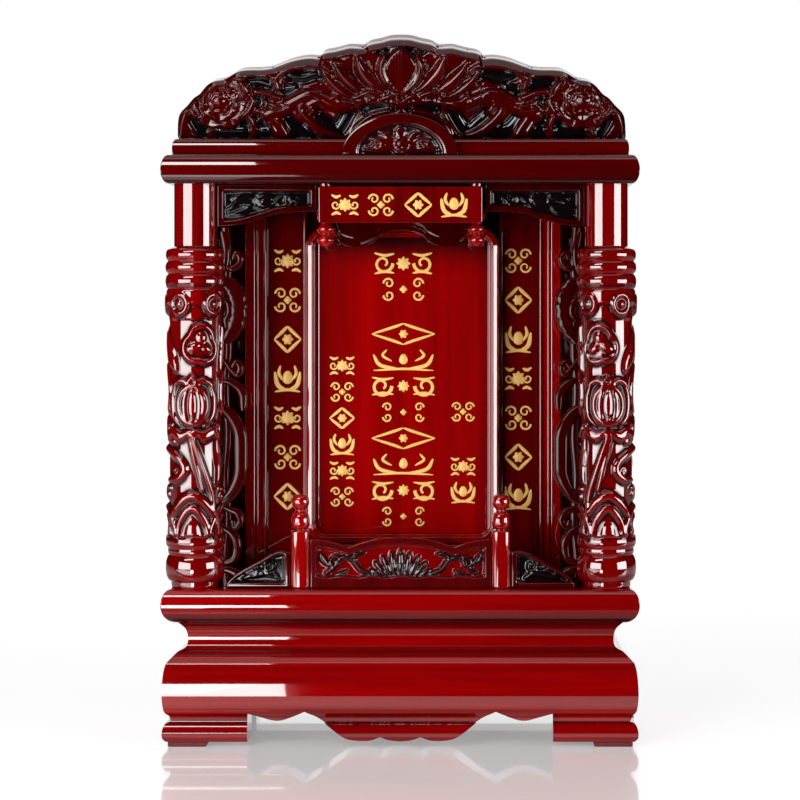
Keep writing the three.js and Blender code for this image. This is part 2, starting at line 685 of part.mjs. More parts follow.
// Front of the case: backboard, tablet in its frame, and the two tall side boards
function makeFront() {
  const backboard = boxSolid(
    [-backboardHalfWidth, backboardFront, baseTop],
    [backboardHalfWidth, backboardRear, corniceBottom],
  );
  addMesh("tablet_backboard", backboard, lacquer);

  const rear = backboardFront - fit;
  const bottom = baseTop + plinthHeight + fit;
  const top = bottom + tabletHeight;
  const outline = roundedRectangle(tabletHalfWidth, bottom, top, tabletCornerRadius);
  const inset = tabletFrameWidth;
  const openingRadius = tabletCornerRadius - inset;
  const opening = roundedRectangle(
    tabletHalfWidth - inset, bottom + inset, top - inset, openingRadius,
  );
  const frame = frontSolid(outline, rear - tabletFrameDepth, rear, [opening]);
  const bevelOuter = frontSolid(
    outline, rear - tabletFrameDepth - overrun, rear - tabletFrameDepth + tabletFrameBevel,
  );
  const bevelInner = frontSolid(
    roundedRectangle(
      tabletHalfWidth - tabletFrameBevel, bottom + tabletFrameBevel, top - tabletFrameBevel,
      tabletCornerRadius - tabletFrameBevel,
    ),
    rear - tabletFrameDepth - 2 * overrun, rear,
  );
  addMesh("tablet_frame", frame.subtract(bevelOuter.subtract(bevelInner)), lacquer);
  const panelInset = inset + fit;
  const panel = roundedRectangle(
    tabletHalfWidth - panelInset, bottom + panelInset, top - panelInset, openingRadius - fit,
  );
  addMesh("tablet_panel", frontSolid(panel, rear - tabletPanelDepth, rear), lacquer);
  const plinth = boxSolid(
    [-tabletHalfWidth, rear - tabletFrameDepth, baseTop],
    [tabletHalfWidth, rear, baseTop + plinthHeight],
  );
  addMesh("tablet_plinth", plinth, lacquer);

  bothSides((word, side) => {
    const board = sideBox(
      side, coupletInner, rimInner - fit, rear - coupletThickness, rear, baseTop, corniceBottom,
    );
    addMesh(`couplet_board_${word}`, board, lacquer);
    const rim = sideBox(side, rimInner, rimOuter, rear - rimDepth, rear, baseTop, corniceBottom);
    addMesh(`couplet_rim_${word}`, rim, lacquer);
    const caseSide = sideBox(
      side, caseSideInner, caseSideInner + caseSideThickness,
      backboardFront - caseSideProud, stileFront - fit, baseTop, corniceBottom,
    );
    addMesh(`case_side_${word}`, caseSide, lacquer);
  });
}

// Outer walls, grooved stiles, sill, the sliding back and the inner name board
function makeRear() {
  const grooveFront = slideFront - fit;
  const grooveRear = slideFront + slideThickness + fit;
  const grooveEnd = stileInnerHalf + grooveDepth;
  bothSides((word, side) => {
    const wall = sideBox(
      side, wallOutset - wallThickness, wallOutset, columnY, stileFront - fit, baseTop, corniceBottom,
    );
    addMesh(`wall_${word}`, wall.subtract(columnSpace(side)), lacquer);
    const section = [
      [stileInnerHalf, stileFront], [wallOutset, stileFront], [wallOutset, stileRear],
      [stileInnerHalf, stileRear], [stileInnerHalf, grooveRear], [grooveEnd, grooveRear],
      [grooveEnd, grooveFront], [stileInnerHalf, grooveFront],
    ].map(([x, y]) => [side * x, y]);
    addMesh(`rear_stile_${word}`, planSolid(section, baseTop, corniceBottom), lacquer);
  });
  const sillHalf = stileInnerHalf - fit;
  const sill = boxSolid([-sillHalf, grooveRear, baseTop], [sillHalf, stileRear, baseTop + sillHeight]);
  addMesh("rear_sill", sill, lacquer);

  const slideHalf = grooveEnd - fit;
  const slideTop = corniceBottom + slideGrip;
  const slide = boxSolid(
    [-slideHalf, slideFront, baseTop + fit],
    [slideHalf, slideFront + slideThickness, slideTop],
  );
  const notch = frontSolid(
    ellipse(0, slideTop, fingerNotchRadius, fingerNotchRadius, 0, 4 * quarterSteps),
    slideFront - overrun, slideFront + slideThickness + overrun,
  );
  addMesh("back_slide", slide.subtract(notch), lacquer);

  const boardFront = backboardRear + fit;
  const boardRear = boardFront + nameBoardThickness;
  const nameBoard = boxSolid(
    [-nameBoardHalfWidth, boardFront, baseTop + fit],
    [nameBoardHalfWidth, boardRear, baseTop + nameBoardHeight],
  );
  addMesh("name_board", nameBoard, plainWood);
  const lipFront = boardRear + fit;
  const edgeX = nameBoardHalfWidth + fit;
  bothSides((word, side) => {
    const section = [
      [edgeX, backboardRear], [edgeX + battenWidth, backboardRear],
      [edgeX + battenWidth, lipFront + battenLipThickness],
      [edgeX - battenLip, lipFront + battenLipThickness], [edgeX - battenLip, lipFront],
      [edgeX, lipFront],
    ].map(([x, y]) => [side * x, y]);
    const batten = planSolid(
      section, baseTop + battenBottom, baseTop + nameBoardHeight - battenBottom,
    );
    addMesh(`name_board_batten_${word}`, batten, plainWood);
  });
}

// Balustrade: posts with turned heads, a pierced middle rail and two raking side rails
function makeBalustrade() {
  const body = postHalfWidth;
  const cut = body - postChamfer;
  const section = [
    [cut, -body], [body, -cut], [body, cut], [cut, body], [-cut, body], [-body, cut],
    [-body, -cut], [-cut, -body],
  ];
  bothSides((word, side) => {
    const block = planSolid(section, 0, postBodyHeight);
    const finial = turnedSolid(finialProfileShares, postHalfWidth, postFinialHeight)
      .translate([0, 0, postBodyHeight - postSeat]);
    const mesh = addMesh(`rail_post_${word}`, block.add(finial), lacquer);
    mesh.position.set(side * postX, railY, baseTop);
  });

  const front = railY - railThickness / 2;
  const rear = railY + railThickness / 2;
  const halfLength = postX - postHalfWidth - fit;
  const top = bothHalves(smoothRuns(railTopShares, halfLength, railHeight))
    .map(([a, b]) => [a, baseTop + b]);
  const rail = [[-halfLength, baseTop], ...top, [halfLength, baseTop]];
  const windowHalf = halfLength - railEndBorder;
  const shortest = Math.min(...top.map(([, z]) => z)) - railBorder / 2;
  const window = [
    [-windowHalf, baseTop + railBorder], [-windowHalf, shortest],
    [windowHalf, shortest], [windowHalf, baseTop + railBorder],
  ];
  addMesh("rail_centre", frontSolid(rail, front, rear, [window]), lacquer);
  const panel = boxSolid(
    [-halfLength, rear + fit, baseTop],
    [halfLength, rear + fit + railPanelThickness, shortest + railBorder / 2],
  );
  addMesh("rail_panel", panel, lacquer);

  const inner = postX + postHalfWidth + fit;
  const outer = columnX - columnRadius - sideRailEndGap;
  const length = outer - inner;
  bothSides((word, side) => {
    const place = (a, z) => [side * (inner + a * length), baseTop + z];
    const line = smoothRuns([sideRailTopShares], 1, 1).map(([a, b]) => place(a, b * sideRailHeight));
    const board = [place(0, 0), ...line, place(1, 0)];
    const hole = smoothRuns([sideRailTopShares], 1, 1)
      .filter(([a, b]) => a * length > railEndBorder && b * sideRailHeight > 2 * railEndBorder)
      .map(([a, b]) => place(a, b * sideRailHeight - railEndBorder));
    const lowEnd = hole.at(-1)[0];
    const window = [...hole, [lowEnd, baseTop + railEndBorder], [hole[0][0], baseTop + railEndBorder]];
    addMesh(`rail_side_${word}`, frontSolid(board, front, rear, [window]), lacquer);
  });
}

// Wings: openwork scrolls that fill in between a column and the side boards
function makeWings() {
  const front = columnY - wingThickness / 2;
  const rear = columnY + wingThickness / 2;
  const spineOuter = columnX;
  const spineInner = columnX - columnRadius + wingSpineWidth / 2;
  const across = spineInner - wingInnerHalf;
  const foot = baseTop;
  const tall = corniceBottom - spandrelHeight - fit - foot;
  const ringSides = 4 * quarterSteps;
  const spineEdge = spineInner - wingSpineWidth;
  bothSides((word, side) => {
    const solids = [sideBox(side, spineEdge, spineOuter, front, rear, foot, foot + tall)];
    for (const [a, b, halfA, halfB, tilt, open] of wingRingShares) {
      const x = side * (spineInner - a * across);
      const z = foot + b * tall;
      const wide = halfA * across;
      const high = halfB * tall;
      const turn = side * tilt;
      const ring = frontSolid(ellipse(x, z, wide, high, turn, ringSides), front, rear);
      const hole = ellipse(x, z, wide - wingBar, high - wingBar, turn, ringSides);
      solids.push(open ? ring.subtract(frontSolid(hole, front - overrun, rear + overrun)) : ring);
    }
    const inside = sideBox(side, wingInnerHalf, spineOuter, front, rear, foot, foot + tall);
    const wing = joined(solids).subtract(columnSpace(side)).intersect(inside);
    addMesh(`wing_${word}`, wing, lacquer);
  });
}

makeBase();
makeColumns();
makeCornice();
makeCrest();
makeHeader();
makeFront();
makeRear();
makeBalustrade();
makeWings();

export default group;
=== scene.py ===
"""Ancestral tablet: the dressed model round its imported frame, laid out as a Blender add-on."""
import math

import bpy
import numpy as np
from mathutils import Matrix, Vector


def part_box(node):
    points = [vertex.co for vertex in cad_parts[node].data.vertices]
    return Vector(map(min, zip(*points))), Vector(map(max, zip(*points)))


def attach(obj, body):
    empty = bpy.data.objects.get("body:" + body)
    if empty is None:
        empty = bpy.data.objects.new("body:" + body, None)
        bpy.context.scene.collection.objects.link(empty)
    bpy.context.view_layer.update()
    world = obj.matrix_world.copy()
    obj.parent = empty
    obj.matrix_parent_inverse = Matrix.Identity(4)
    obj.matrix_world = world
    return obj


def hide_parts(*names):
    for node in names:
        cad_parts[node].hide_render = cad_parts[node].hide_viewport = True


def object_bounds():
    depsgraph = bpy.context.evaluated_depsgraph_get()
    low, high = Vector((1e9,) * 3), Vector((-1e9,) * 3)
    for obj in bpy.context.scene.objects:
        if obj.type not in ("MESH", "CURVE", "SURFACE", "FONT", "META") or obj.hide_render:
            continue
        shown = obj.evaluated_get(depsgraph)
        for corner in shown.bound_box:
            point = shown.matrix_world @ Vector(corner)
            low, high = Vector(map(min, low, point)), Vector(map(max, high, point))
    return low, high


bl_info = {
    "name": "Ancestral tablet",
    "version": (1, 0, 0),
    "blender": (4, 5, 0),
    "location": "3D View > Sidebar > Tablet",
    "description": "Builds a lacquered ancestral tablet, its finishes and a plain studio round it",
    "category": "Add Mesh",
}

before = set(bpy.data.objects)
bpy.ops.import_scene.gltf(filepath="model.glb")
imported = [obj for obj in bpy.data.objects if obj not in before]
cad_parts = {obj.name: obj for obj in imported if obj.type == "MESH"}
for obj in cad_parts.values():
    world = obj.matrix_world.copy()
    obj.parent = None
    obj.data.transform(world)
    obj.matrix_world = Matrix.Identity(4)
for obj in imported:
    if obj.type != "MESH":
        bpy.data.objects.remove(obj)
CAD_BOX = [list(corner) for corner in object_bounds()]

MM = 0.001  # shapes are worked out in millimetres and stored in metres
FAR = 1e3
PIXEL = 2 / 3  # millimetres across one pixel of the photograph, at the front of the base
PIXEL_FLOOR = 748.5
FLAT_FACED = 12000  # points in a piece, up to which its large faces are shaded flat
CASE = "case"
BACK = "sliding_back"
SIDES = (("left", -1), ("right", 1))


# Sizes and colours that a user may change


def length_size(name, description, default, least=0.0):
    """A length, with its default in millimetres."""
    return bpy.props.FloatProperty(
        name=name, description=description, default=default * MM, min=least, unit="LENGTH")


def share_size(name, description, default):
    """A share of a height."""
    return bpy.props.FloatProperty(
        name=name, description=description, default=default, min=0.1, max=0.9, subtype="FACTOR")


def lean_size(name, description, degrees):
    """An angle, with its default in degrees."""
    return bpy.props.FloatProperty(
        name=name, description=description, default=math.radians(degrees), subtype="ANGLE")


def count_size(name, description, default, least):
    """A whole number."""
    return bpy.props.IntProperty(name=name, description=description, default=default, min=least)


def power_size(name, description, default):
    """A lamp's power in watts."""
    return bpy.props.FloatProperty(
        name=name, description=description, default=default, min=0, unit="POWER")


def colour_choice(name, description, default):
    """A colour in linear values."""
    return bpy.props.FloatVectorProperty(
        name=name, description=description, size=3, default=default, min=0, max=1, subtype="COLOR")


# Places


def node_box(name):
    """Lowest and highest corner of a CAD node, in millimetres."""
    low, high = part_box(name)
    return np.array(low) / MM, np.array(high) / MM


def spread(count, ends=0.3):
    """Numbers from 0 to 1, closer together near both ends: a mix of even steps and a cosine."""
    t = np.linspace(0, 1, count)
    return (1 - ends) * t + ends * (0.5 - 0.5 * np.cos(np.pi * t))


def smooth_path(points, steps=6):
    """A Catmull-Rom curve through the points, steps pieces to each span; extra columns are carried along."""
    p = np.asarray(points, float)
    if len(p) < 3:
        t = np.linspace(0, 1, steps * (len(p) - 1) + 1)[:, None]
        return p[0] + (p[-1] - p[0]) * t
    ends = np.vstack([2 * p[0] - p[1], p, 2 * p[-1] - p[-2]])
    t = np.linspace(0, 1, steps, endpoint=False)[:, None]
    runs = []
    for a, b, c, d in zip(ends[:-3], ends[1:-2], ends[2:-1], ends[3:]):
        runs.append(0.5 * (2 * b + (c - a) * t + (2 * a - 5 * b + 4 * c - d) * t ** 2
                           + (3 * b - a - 3 * c + d) * t ** 3))
    return np.vstack(runs + [p[-1:]])


def smooth_runs(runs, across=1.0, up=1.0, steps=5):
    """Runs of share points, each smooth in itself with cusps left between them, scaled to a size."""
    lines = [smooth_path(run, steps) for run in runs]
    whole = np.vstack([lines[0]] + [line[1:] for line in lines[1:]])
    return whole * np.array([across, up])


# Skins


def skin_volume(points, quads):
    """Six times the volume inside four-sided faces: the sum of triple products about the middle."""
    p = points - points.mean(0)
    a, b, c, d = (p[quads[:, k]] for k in range(4))
    return float((np.cross(a, b) * c + np.cross(a, c) * d).sum())


def loft(rings, closed_path=False, values=None):
    """A closed skin through rows of points: point (i, j) of the grid is joined to (i+1, j), (i+1, j+1)
    and (i, j+1). Each row closes on itself. The end rows get one flat face each, unless the path is
    closed too. Faces are turned outwards by the sign of the volume inside them."""
    rows, across = rings.shape[:2]
    points = rings.reshape(-1, 3)
    index = np.arange(rows * across).reshape(rows, across)
    after = np.roll(index, -1, axis=0) if closed_path else index[1:]
    here = index if closed_path else index[:-1]
    quads = np.stack([here, after, np.roll(after, -1, 1), np.roll(here, -1, 1)], -1).reshape(-1, 4)
    caps = [] if closed_path else [index[0], index[-1][::-1]]
    fans = [np.stack([cap[:1].repeat(across - 2), cap[1:-1], cap[2:], cap[2:]], -1) for cap in caps]
    if skin_volume(points, np.vstack([quads] + fans)) < 0:
        quads = quads[:, ::-1]
        caps = [cap[::-1] for cap in caps]
    depths = np.zeros(len(points)) if values is None else values.reshape(-1)
    return points, quads, caps, depths


def mirrored(skin):
    """The same skin on the other side of the middle plane, with its faces turned back outwards."""
    points, quads, caps, depths = skin
    return points * np.array([-1, 1, 1]), quads[:, ::-1], [cap[::-1] for cap in caps], depths


def leaned(skin, degrees, origin):
    """A skin turned about X and carried to its origin: y' = y cos - z sin, z' = y sin + z cos."""
    turn = math.radians(degrees)
    x, y, z = skin[0].T
    points = np.stack([
        x, y * math.cos(turn) - z * math.sin(turn), y * math.sin(turn) + z * math.cos(turn),
    ], -1)
    return (points + np.asarray(origin, float),) + skin[1:]


def turned_plan(skin, quarters):
    """A skin turned about the upright axis by quarter turns."""
    x, y, z = skin[0].T
    for _ in range(quarters):
        x, y = -y, x
    return (np.stack([x, y, z], -1),) + skin[1:]


def add_piece(name, node, skins, finish, body=CASE, smooth=38.0):
    """Puts skins into one mesh object in metres, in a finish, and hides the node it stands for, if
    any. Edges that turn by more than smooth, in degrees, stay sharp."""
    points, faces, start = [], [], 0
    for place, quads, caps, _ in skins:
        points.append(place * MM)
        faces.extend((quads + start).tolist())
        faces.extend([(cap + start).tolist() for cap in caps])
        start += len(place)
    mesh = bpy.data.meshes.new(name)
    mesh.from_pydata(np.vstack(points), [], faces)
    # Each point's recess value: 1 on sunk black grounds, and painted shade in creases, coves, low carving and
    # under overhangs.
    recess = np.concatenate([skin[3] for skin in skins]).astype(np.float32)
    mesh.attributes.new("recess", "FLOAT", "POINT").data.foreach_set("value", recess)
    mesh.shade_smooth()
    mesh.set_sharp_from_angle(angle=math.radians(smooth))
    mesh.materials.append(bpy.data.materials[finish])
    piece = bpy.data.objects.new(name, mesh)
    bpy.context.scene.collection.objects.link(piece)
    if start < FLAT_FACED:
        piece.modifiers.new("flat faces", "WEIGHTED_NORMAL").keep_sharp = True
    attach(piece, body)
    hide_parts(*([node] if node else []))


def dress_nodes(finish, *names):
    """Gives CAD nodes that stay on show their finish."""
    for name in names:
        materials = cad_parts[name].data.materials
        materials.clear()
        materials.append(bpy.data.materials[finish])


# Plain forms


def rounded_rectangle(x0, x1, y0, y1, radius, steps=6):
    """Anticlockwise points of a rectangle whose corners are quarter circles."""
    turn = np.linspace(0, np.pi / 2, steps)
    corners = [(x1 - radius, y1 - radius, 0), (x0 + radius, y1 - radius, 1),
               (x0 + radius, y0 + radius, 2), (x1 - radius, y0 + radius, 3)]
    return np.vstack([
        np.stack([cx + radius * np.cos(turn + q * np.pi / 2), cy + radius * np.sin(turn + q * np.pi / 2)], -1)
        for cx, cy, q in corners
    ])


def moulded_block(low, high, profile, corner=0.6, rear=True, shade=0.0):
    """A block with the same moulding on its sides: a rounded rectangle at each (inset, height) of the
    profile. The rear face stays upright where rear is false. Painted shade darkens it towards its
    foot: shade times exp(-(height share / 0.32)^2)."""
    rings = []
    for inset, z in profile:
        back = high[1] - (inset if rear else 0)
        ring = rounded_rectangle(low[0] + inset, high[0] - inset, low[1] + inset, back, corner)
        rings.append(np.column_stack([ring, np.full(len(ring), z)]))
    share = (np.array(profile)[:, 1] - low[2]) / (high[2] - low[2])
    dark = np.repeat((shade * np.exp(-(share / 0.32) ** 2))[:, None], len(rings[0]), 1)
    return loft(np.array(rings), values=dark)


def eased_profile(bottom, top, ease, steps=5):
    """Upright side with quarter rounds at both ends, as (inset, height) rows."""
    turn = np.linspace(0, np.pi / 2, steps)
    lower = np.column_stack([ease * (1 - np.sin(turn)), bottom + ease * (1 - np.cos(turn))])
    upper = np.column_stack([ease * (1 - np.cos(turn)), top - ease * (1 - np.sin(turn))])
    return np.vstack([lower, upper])


def eased_box(low, high, ease):
    """A board with all its edges eased by the same small round."""
    return moulded_block(low, high, eased_profile(low[2], high[2], ease), corner=ease)


def round_edge(lower, upper, bottom, height, widest_share, steps=12):
    """Rounded edge as (inset, height): two quarter ellipses that meet at the widest point."""
    turn = np.linspace(0, np.pi / 2, steps)
    low = np.column_stack([lower * (1 - np.sin(turn)), height * widest_share * (1 - np.cos(turn))])
    high = np.column_stack([
        upper * (1 - np.cos(turn)), height * (widest_share + (1 - widest_share) * np.sin(turn)),
    ])
    return np.vstack([low, high[1:]]) + np.array([0, bottom])


def turned(x, y, heights, radii, sides=64):
    """A turned form: a circle of the radius for each height about an upright axis."""
    turn = np.linspace(0, 2 * np.pi, sides, endpoint=False)
    rings = np.stack([
        x + radii[:, None] * np.cos(turn), y + radii[:, None] * np.sin(turn),
        np.repeat(heights[:, None], sides, 1),
    ], -1)
    return loft(rings)


def plate(outline, front, rear, ease):
    """A flat board cut to an outline in X and Z: the outline is drawn in by the ease at both faces,
    along the mean of its neighbouring edges' normals."""
    shape = np.asarray(outline, float)
    if np.sum(shape[:, 0] * np.roll(shape[:, 1], -1) - shape[:, 1] * np.roll(shape[:, 0], -1)) < 0:
        shape = shape[::-1]
    ahead = np.roll(shape, -1, 0) - shape
    ahead /= np.linalg.norm(ahead, axis=1, keepdims=True) + 1e-9
    normal = np.stack([-ahead[:, 1], ahead[:, 0]], -1)
    mean = normal + np.roll(normal, 1, 0)
    mean /= np.maximum((mean * normal).sum(1, keepdims=True), 0.5)
    rings = []
    for inset, y in eased_profile(front, rear, ease, 4):
        ring = shape + mean * inset
        rings.append(np.stack([ring[:, 0], np.full(len(ring), y), ring[:, 1]], -1))
    return loft(np.array(rings))


def prism(outline, bottom, top):
    """A plan outline carried straight up."""
    shape = np.asarray(outline, float)
    return loft(np.array([np.column_stack([shape, np.full(len(shape), z)]) for z in (bottom, top)]))


def rounded_corners(points, radius, steps=4):
    """A polygon whose corners are quadratic arcs that start one radius before each corner."""
    p = np.asarray(points, float)
    t = np.linspace(0, 1, steps)[:, None]
    arcs = []
    for before, corner, after in zip(np.roll(p, 1, 0), p, np.roll(p, -1, 0)):
        a = corner + (before - corner) * (radius / np.linalg.norm(before - corner))
        b = corner + (after - corner) * (radius / np.linalg.norm(after - corner))
        arcs.append((1 - t) ** 2 * a + 2 * t * (1 - t) * corner + t ** 2 * b)
    return np.vstack(arcs)


def path_normals(path, closed):
    """Unit normals of a plane path, from the difference of its neighbours."""
    ahead = np.roll(path, -1, 0) - np.roll(path, 1, 0) if closed else np.gradient(path, axis=0)
    ahead = ahead / (np.linalg.norm(ahead, axis=1, keepdims=True) + 1e-9)
    return np.stack([-ahead[:, 1], ahead[:, 0]], -1)


def strap(path, halves, front, rear, closed=False, sides=12, squareness=0.7):
    """A bar bent along a path in X and Z: its section is a superellipse as wide as twice halves and as
    deep as front to rear."""
    path = np.asarray(path, float)
    halves = np.broadcast_to(np.asarray(halves, float), (len(path),))
    normal = path_normals(path, closed)
    turn = np.linspace(0, 2 * np.pi, sides, endpoint=False)
    c, s = np.cos(turn), np.sin(turn)
    across = np.sign(c) * np.abs(c) ** squareness
    deep = np.sign(s) * np.abs(s) ** squareness
    plane = path[:, None] + normal[:, None] * (halves[:, None] * across)[..., None]
    y = np.broadcast_to((front + rear) / 2 + (rear - front) / 2 * deep, plane.shape[:2])
    return loft(np.stack([plane[..., 0], y, plane[..., 1]], -1), closed)


def medal(x, z, radii_of, front, rear, crown=0.6, sides=40, rows=7):
    """A low raised form on a face: rings of the outline radius drawn in as they rise to the front,
    height = 1 - share^2 of the way out, with the crown kept for its middle."""
    turn = np.linspace(0, 2 * np.pi, sides, endpoint=False)
    outer = radii_of(turn)
    shares = np.concatenate([[1.0], np.cos(np.linspace(0, np.pi / 2, rows))])[:-1]
    rings = [np.stack([x + outer * np.cos(turn), np.full(sides, rear), z + outer * np.sin(turn)], -1)]
    for share in np.append(shares[1:], 0.04):
        rise = (1 - crown) * min(1.0, (1 - share) * rows) + crown * (1 - share ** 2)
        y = rear + (front - rear) * rise
        rings.append(np.stack([
            x + share * outer * np.cos(turn), np.full(sides, y), z + share * outer * np.sin(turn),
        ], -1))
    return loft(np.array(rings))


# Carving


def band(u, v, points, halves, steps=6):
    """Where grid points lie on a bent band: q is the distance from its middle line as a share of its
    half width there, s runs from 0 to 1 along it, and side is the sign of the side they are on."""
    rows = smooth_path(np.column_stack([points, np.broadcast_to(halves, len(points))]), steps)
    path, half = rows[:, :2], np.maximum(rows[:, 2], 0.05)
    reach = 1.5 * half.max()
    near = ((u > path[:, 0].min() - reach) & (u < path[:, 0].max() + reach)
            & (v > path[:, 1].min() - reach) & (v < path[:, 1].max() + reach))
    pu, pv = u[near], v[near]
    best = np.full(pu.shape, FAR)
    along = np.zeros(pu.shape)
    sign = np.ones(pu.shape)
    spans = len(path) - 1
    for i in range(spans):
        a, d = path[i], path[i + 1] - path[i]
        t = np.clip(((pu - a[0]) * d[0] + (pv - a[1]) * d[1]) / (d @ d + 1e-9), 0, 1)
        du, dv = pu - a[0] - t * d[0], pv - a[1] - t * d[1]
        share = np.hypot(du, dv) / (half[i] + t * (half[i + 1] - half[i]))
        closer = share < best
        best = np.where(closer, share, best)
        along = np.where(closer, (i + t) / spans, along)
        sign = np.where(closer, np.sign(d[0] * dv - d[1] * du), sign)
    q, s, side = np.full(u.shape, FAR), np.zeros(u.shape), np.ones(u.shape)
    q[near], s[near], side[near] = best, along, sign
    return q, s, side


def ridge(u, v, points, halves, height):
    """A round bar: height times the square root of 1 - q^2."""
    q, _, _ = band(u, v, points, halves)
    return height * np.sqrt(np.clip(1 - q ** 2, 0, None))


def leaf(u, v, points, half, height, crease=0.35, ribs=0):
    """A pointed leaf: a band whose width swells and closes again, domed, with a crease along its middle
    and ribs that run out from it as a cosine along its length."""
    share = np.linspace(0, 1, len(points))
    halves = half * np.maximum(np.sin(np.pi * np.clip(share * 0.94 + 0.03, 0, 1)) ** 0.7, 0.12)
    q, s, _ = band(u, v, points, halves)
    dome = np.sqrt(np.clip(1 - q ** 2, 0, None))
    crest = 1 - crease * np.exp(-(q / 0.16) ** 2)
    if ribs:
        crest = crest * (1 - 0.16 * np.cos(2 * np.pi * (ribs * s - 0.9 * q)) ** 2)
    return height * dome * crest


def dome(u, v, middle, half_u, half_v, height, tilt=0.0, power=0.5):
    """A domed oval: height times (1 - r^2) to a power, r measured along its own tilted axes."""
    turn = math.radians(tilt)
    du, dv = u - middle[0], v - middle[1]
    a = (du * math.cos(turn) + dv * math.sin(turn)) / half_u
    b = (dv * math.cos(turn) - du * math.sin(turn)) / half_v
    return height * np.clip(1 - a ** 2 - b ** 2, 0, None) ** power


def bloom(u, v, middle, radius, height, petals=7, layers=3, frill=5):
    """An open flower: layers of petals, each a dish that rises towards its frilled edge and is turned
    against the one outside it, round a domed middle."""
    du, dv = u - middle[0], v - middle[1]
    rho, theta = np.hypot(du, dv), np.arctan2(dv, du)
    rise = np.zeros(u.shape)
    for layer in range(layers):
        size = radius * (1 - 0.27 * layer)
        phase = theta + layer * np.pi / petals
        lobes = 0.86 + 0.14 * np.abs(np.cos(petals * phase / 2))
        edge = size * (lobes + 0.03 * np.cos(petals * frill * phase))
        share = rho / edge
        dish = (0.5 + 0.16 * layer) + 0.28 * share ** 2 - 0.12 * np.abs(np.cos(petals * phase / 2)) ** 8
        fall = np.clip((1 - share) * size / 1.4, 0, 1) ** 0.5
        rise = np.where(share < 1, np.maximum(rise * (share > 0.99), dish * fall), rise)
    heart = 0.95 * np.sqrt(np.clip(1 - (rho / (0.3 * radius)) ** 2, 0, None))
    return height * np.maximum(rise, heart)


def volute(u, v, middle, radius, height, turns=1.6, hand=1, start=90.0, width_share=0.3):
    """A coil: a round bar on a spiral whose radius shrinks evenly with its angle, round a small boss."""
    t = np.linspace(0, 1, 18)
    angle = math.radians(start) + hand * 2 * np.pi * turns * t
    r = radius * (1 - 0.82 * t)
    points = np.stack([middle[0] + r * np.cos(angle), middle[1] + r * np.sin(angle)], -1)
    bar = ridge(u, v, points, width_share * radius * (1 - 0.5 * t), height)
    return np.maximum(bar, dome(u, v, middle, 0.22 * radius, 0.22 * radius, height))


def relief_board(xs, bottoms, tops, front, rear, depth, carve, rows, ease, rim=None, soft=2):
    """A board with a carved front over an outline between two lines of heights: y = front +
    depth * (1 - h(x, z)), with h from 0 in the ground to 1, and a quarter round of the ease along
    every edge. A rim is a slope along the top line: its width and how far it falls back. The recess
    value of each point is what the carve function gives."""
    v = spread(rows)
    x = np.repeat(xs[:, None], rows, 1)
    z = bottoms[:, None] + v * (tops - bottoms)[:, None]
    h, recess = carve(x, z)
    h = softened(h, soft)
    edge = np.minimum(np.minimum(z - bottoms[:, None], tops[:, None] - z),
                      np.minimum(x - xs[0], xs[-1] - x))
    fall = ease - np.sqrt(np.clip(ease ** 2 - np.clip(ease - edge, 0, None) ** 2, 0, None))
    if rim:
        slope = np.gradient(tops, xs)[:, None]
        reach = (tops[:, None] - z) / np.sqrt(1 + slope ** 2)
        fall = fall + rim[1] * np.clip(1 - reach / rim[0], 0, 1)
    y = np.minimum(front + depth * (1 - h) + fall, rear - 0.3)
    face = np.stack([x, y, z], -1)
    inner = ease * 0.5
    back = [np.stack([xs, np.full(len(xs), yy), zz], -1)[:, None] for yy, zz in (
        (rear - inner, tops), (rear, tops - inner), (rear, bottoms + inner), (rear - inner, bottoms),
    )]
    rings = np.concatenate([face] + back, axis=1)
    values = np.concatenate([recess, np.zeros((len(xs), len(back)))], axis=1)
    return loft(rings, values=values)


def softened(h, passes):
    """Lacquer fills the corners of a carving: each pass takes the 1-2-1 mean of neighbours both ways."""
    for _ in range(passes):
        for axis in (0, 1):
            wide = np.pad(h, [(int(axis == k),) * 2 for k in (0, 1)], mode="edge")
            before, after = (wide[:-2], wide[2:]) if axis == 0 else (wide[:, :-2], wide[:, 2:])
            h = 0.5 * h + 0.25 * (before + after)
    return h


def hollowed(h, u, v, hollows, wall, pillow=0.0):
    """Sinks bands into a raised form: inside a band the form drops to the ground along a wall of the
    given width, and the recess value there is 1. The ground swells along each band's middle as a
    pillow times 1 - q^2."""
    recess, swell = np.zeros(u.shape), np.zeros(u.shape)
    for points, half in hollows:
        q, _, _ = band(u, v, points, half + wall)
        inside = np.clip((1 - q) * (half + wall) / wall, 0, 1)
        inside = inside * inside * (3 - 2 * inside)
        recess = np.maximum(recess, inside)
        swell = np.maximum(swell, pillow * np.clip(1 - (1.25 * q) ** 2, 0, None) ** 0.5)
    return h * (1 - recess) + swell * recess, recess


def carved(u, v, forms):
    """The highest of several forms at each place. A row holds a form's function and its values."""
    return np.max([form(u, v, *values) for form, *values in forms], axis=0)


def windowed(inside, wall, carving):
    """A carving sunk in a window of a flat face, inside being the distance in from the window's edge:
    sunk = inside / wall between 0 and 1, and the height is the greater of 1 - sunk and sunk carving."""
    sunk = np.clip(inside / wall, 0, 1)
    return sunk, np.where(sunk > 0, np.maximum(1 - sunk, carving * sunk), 1)


# Base

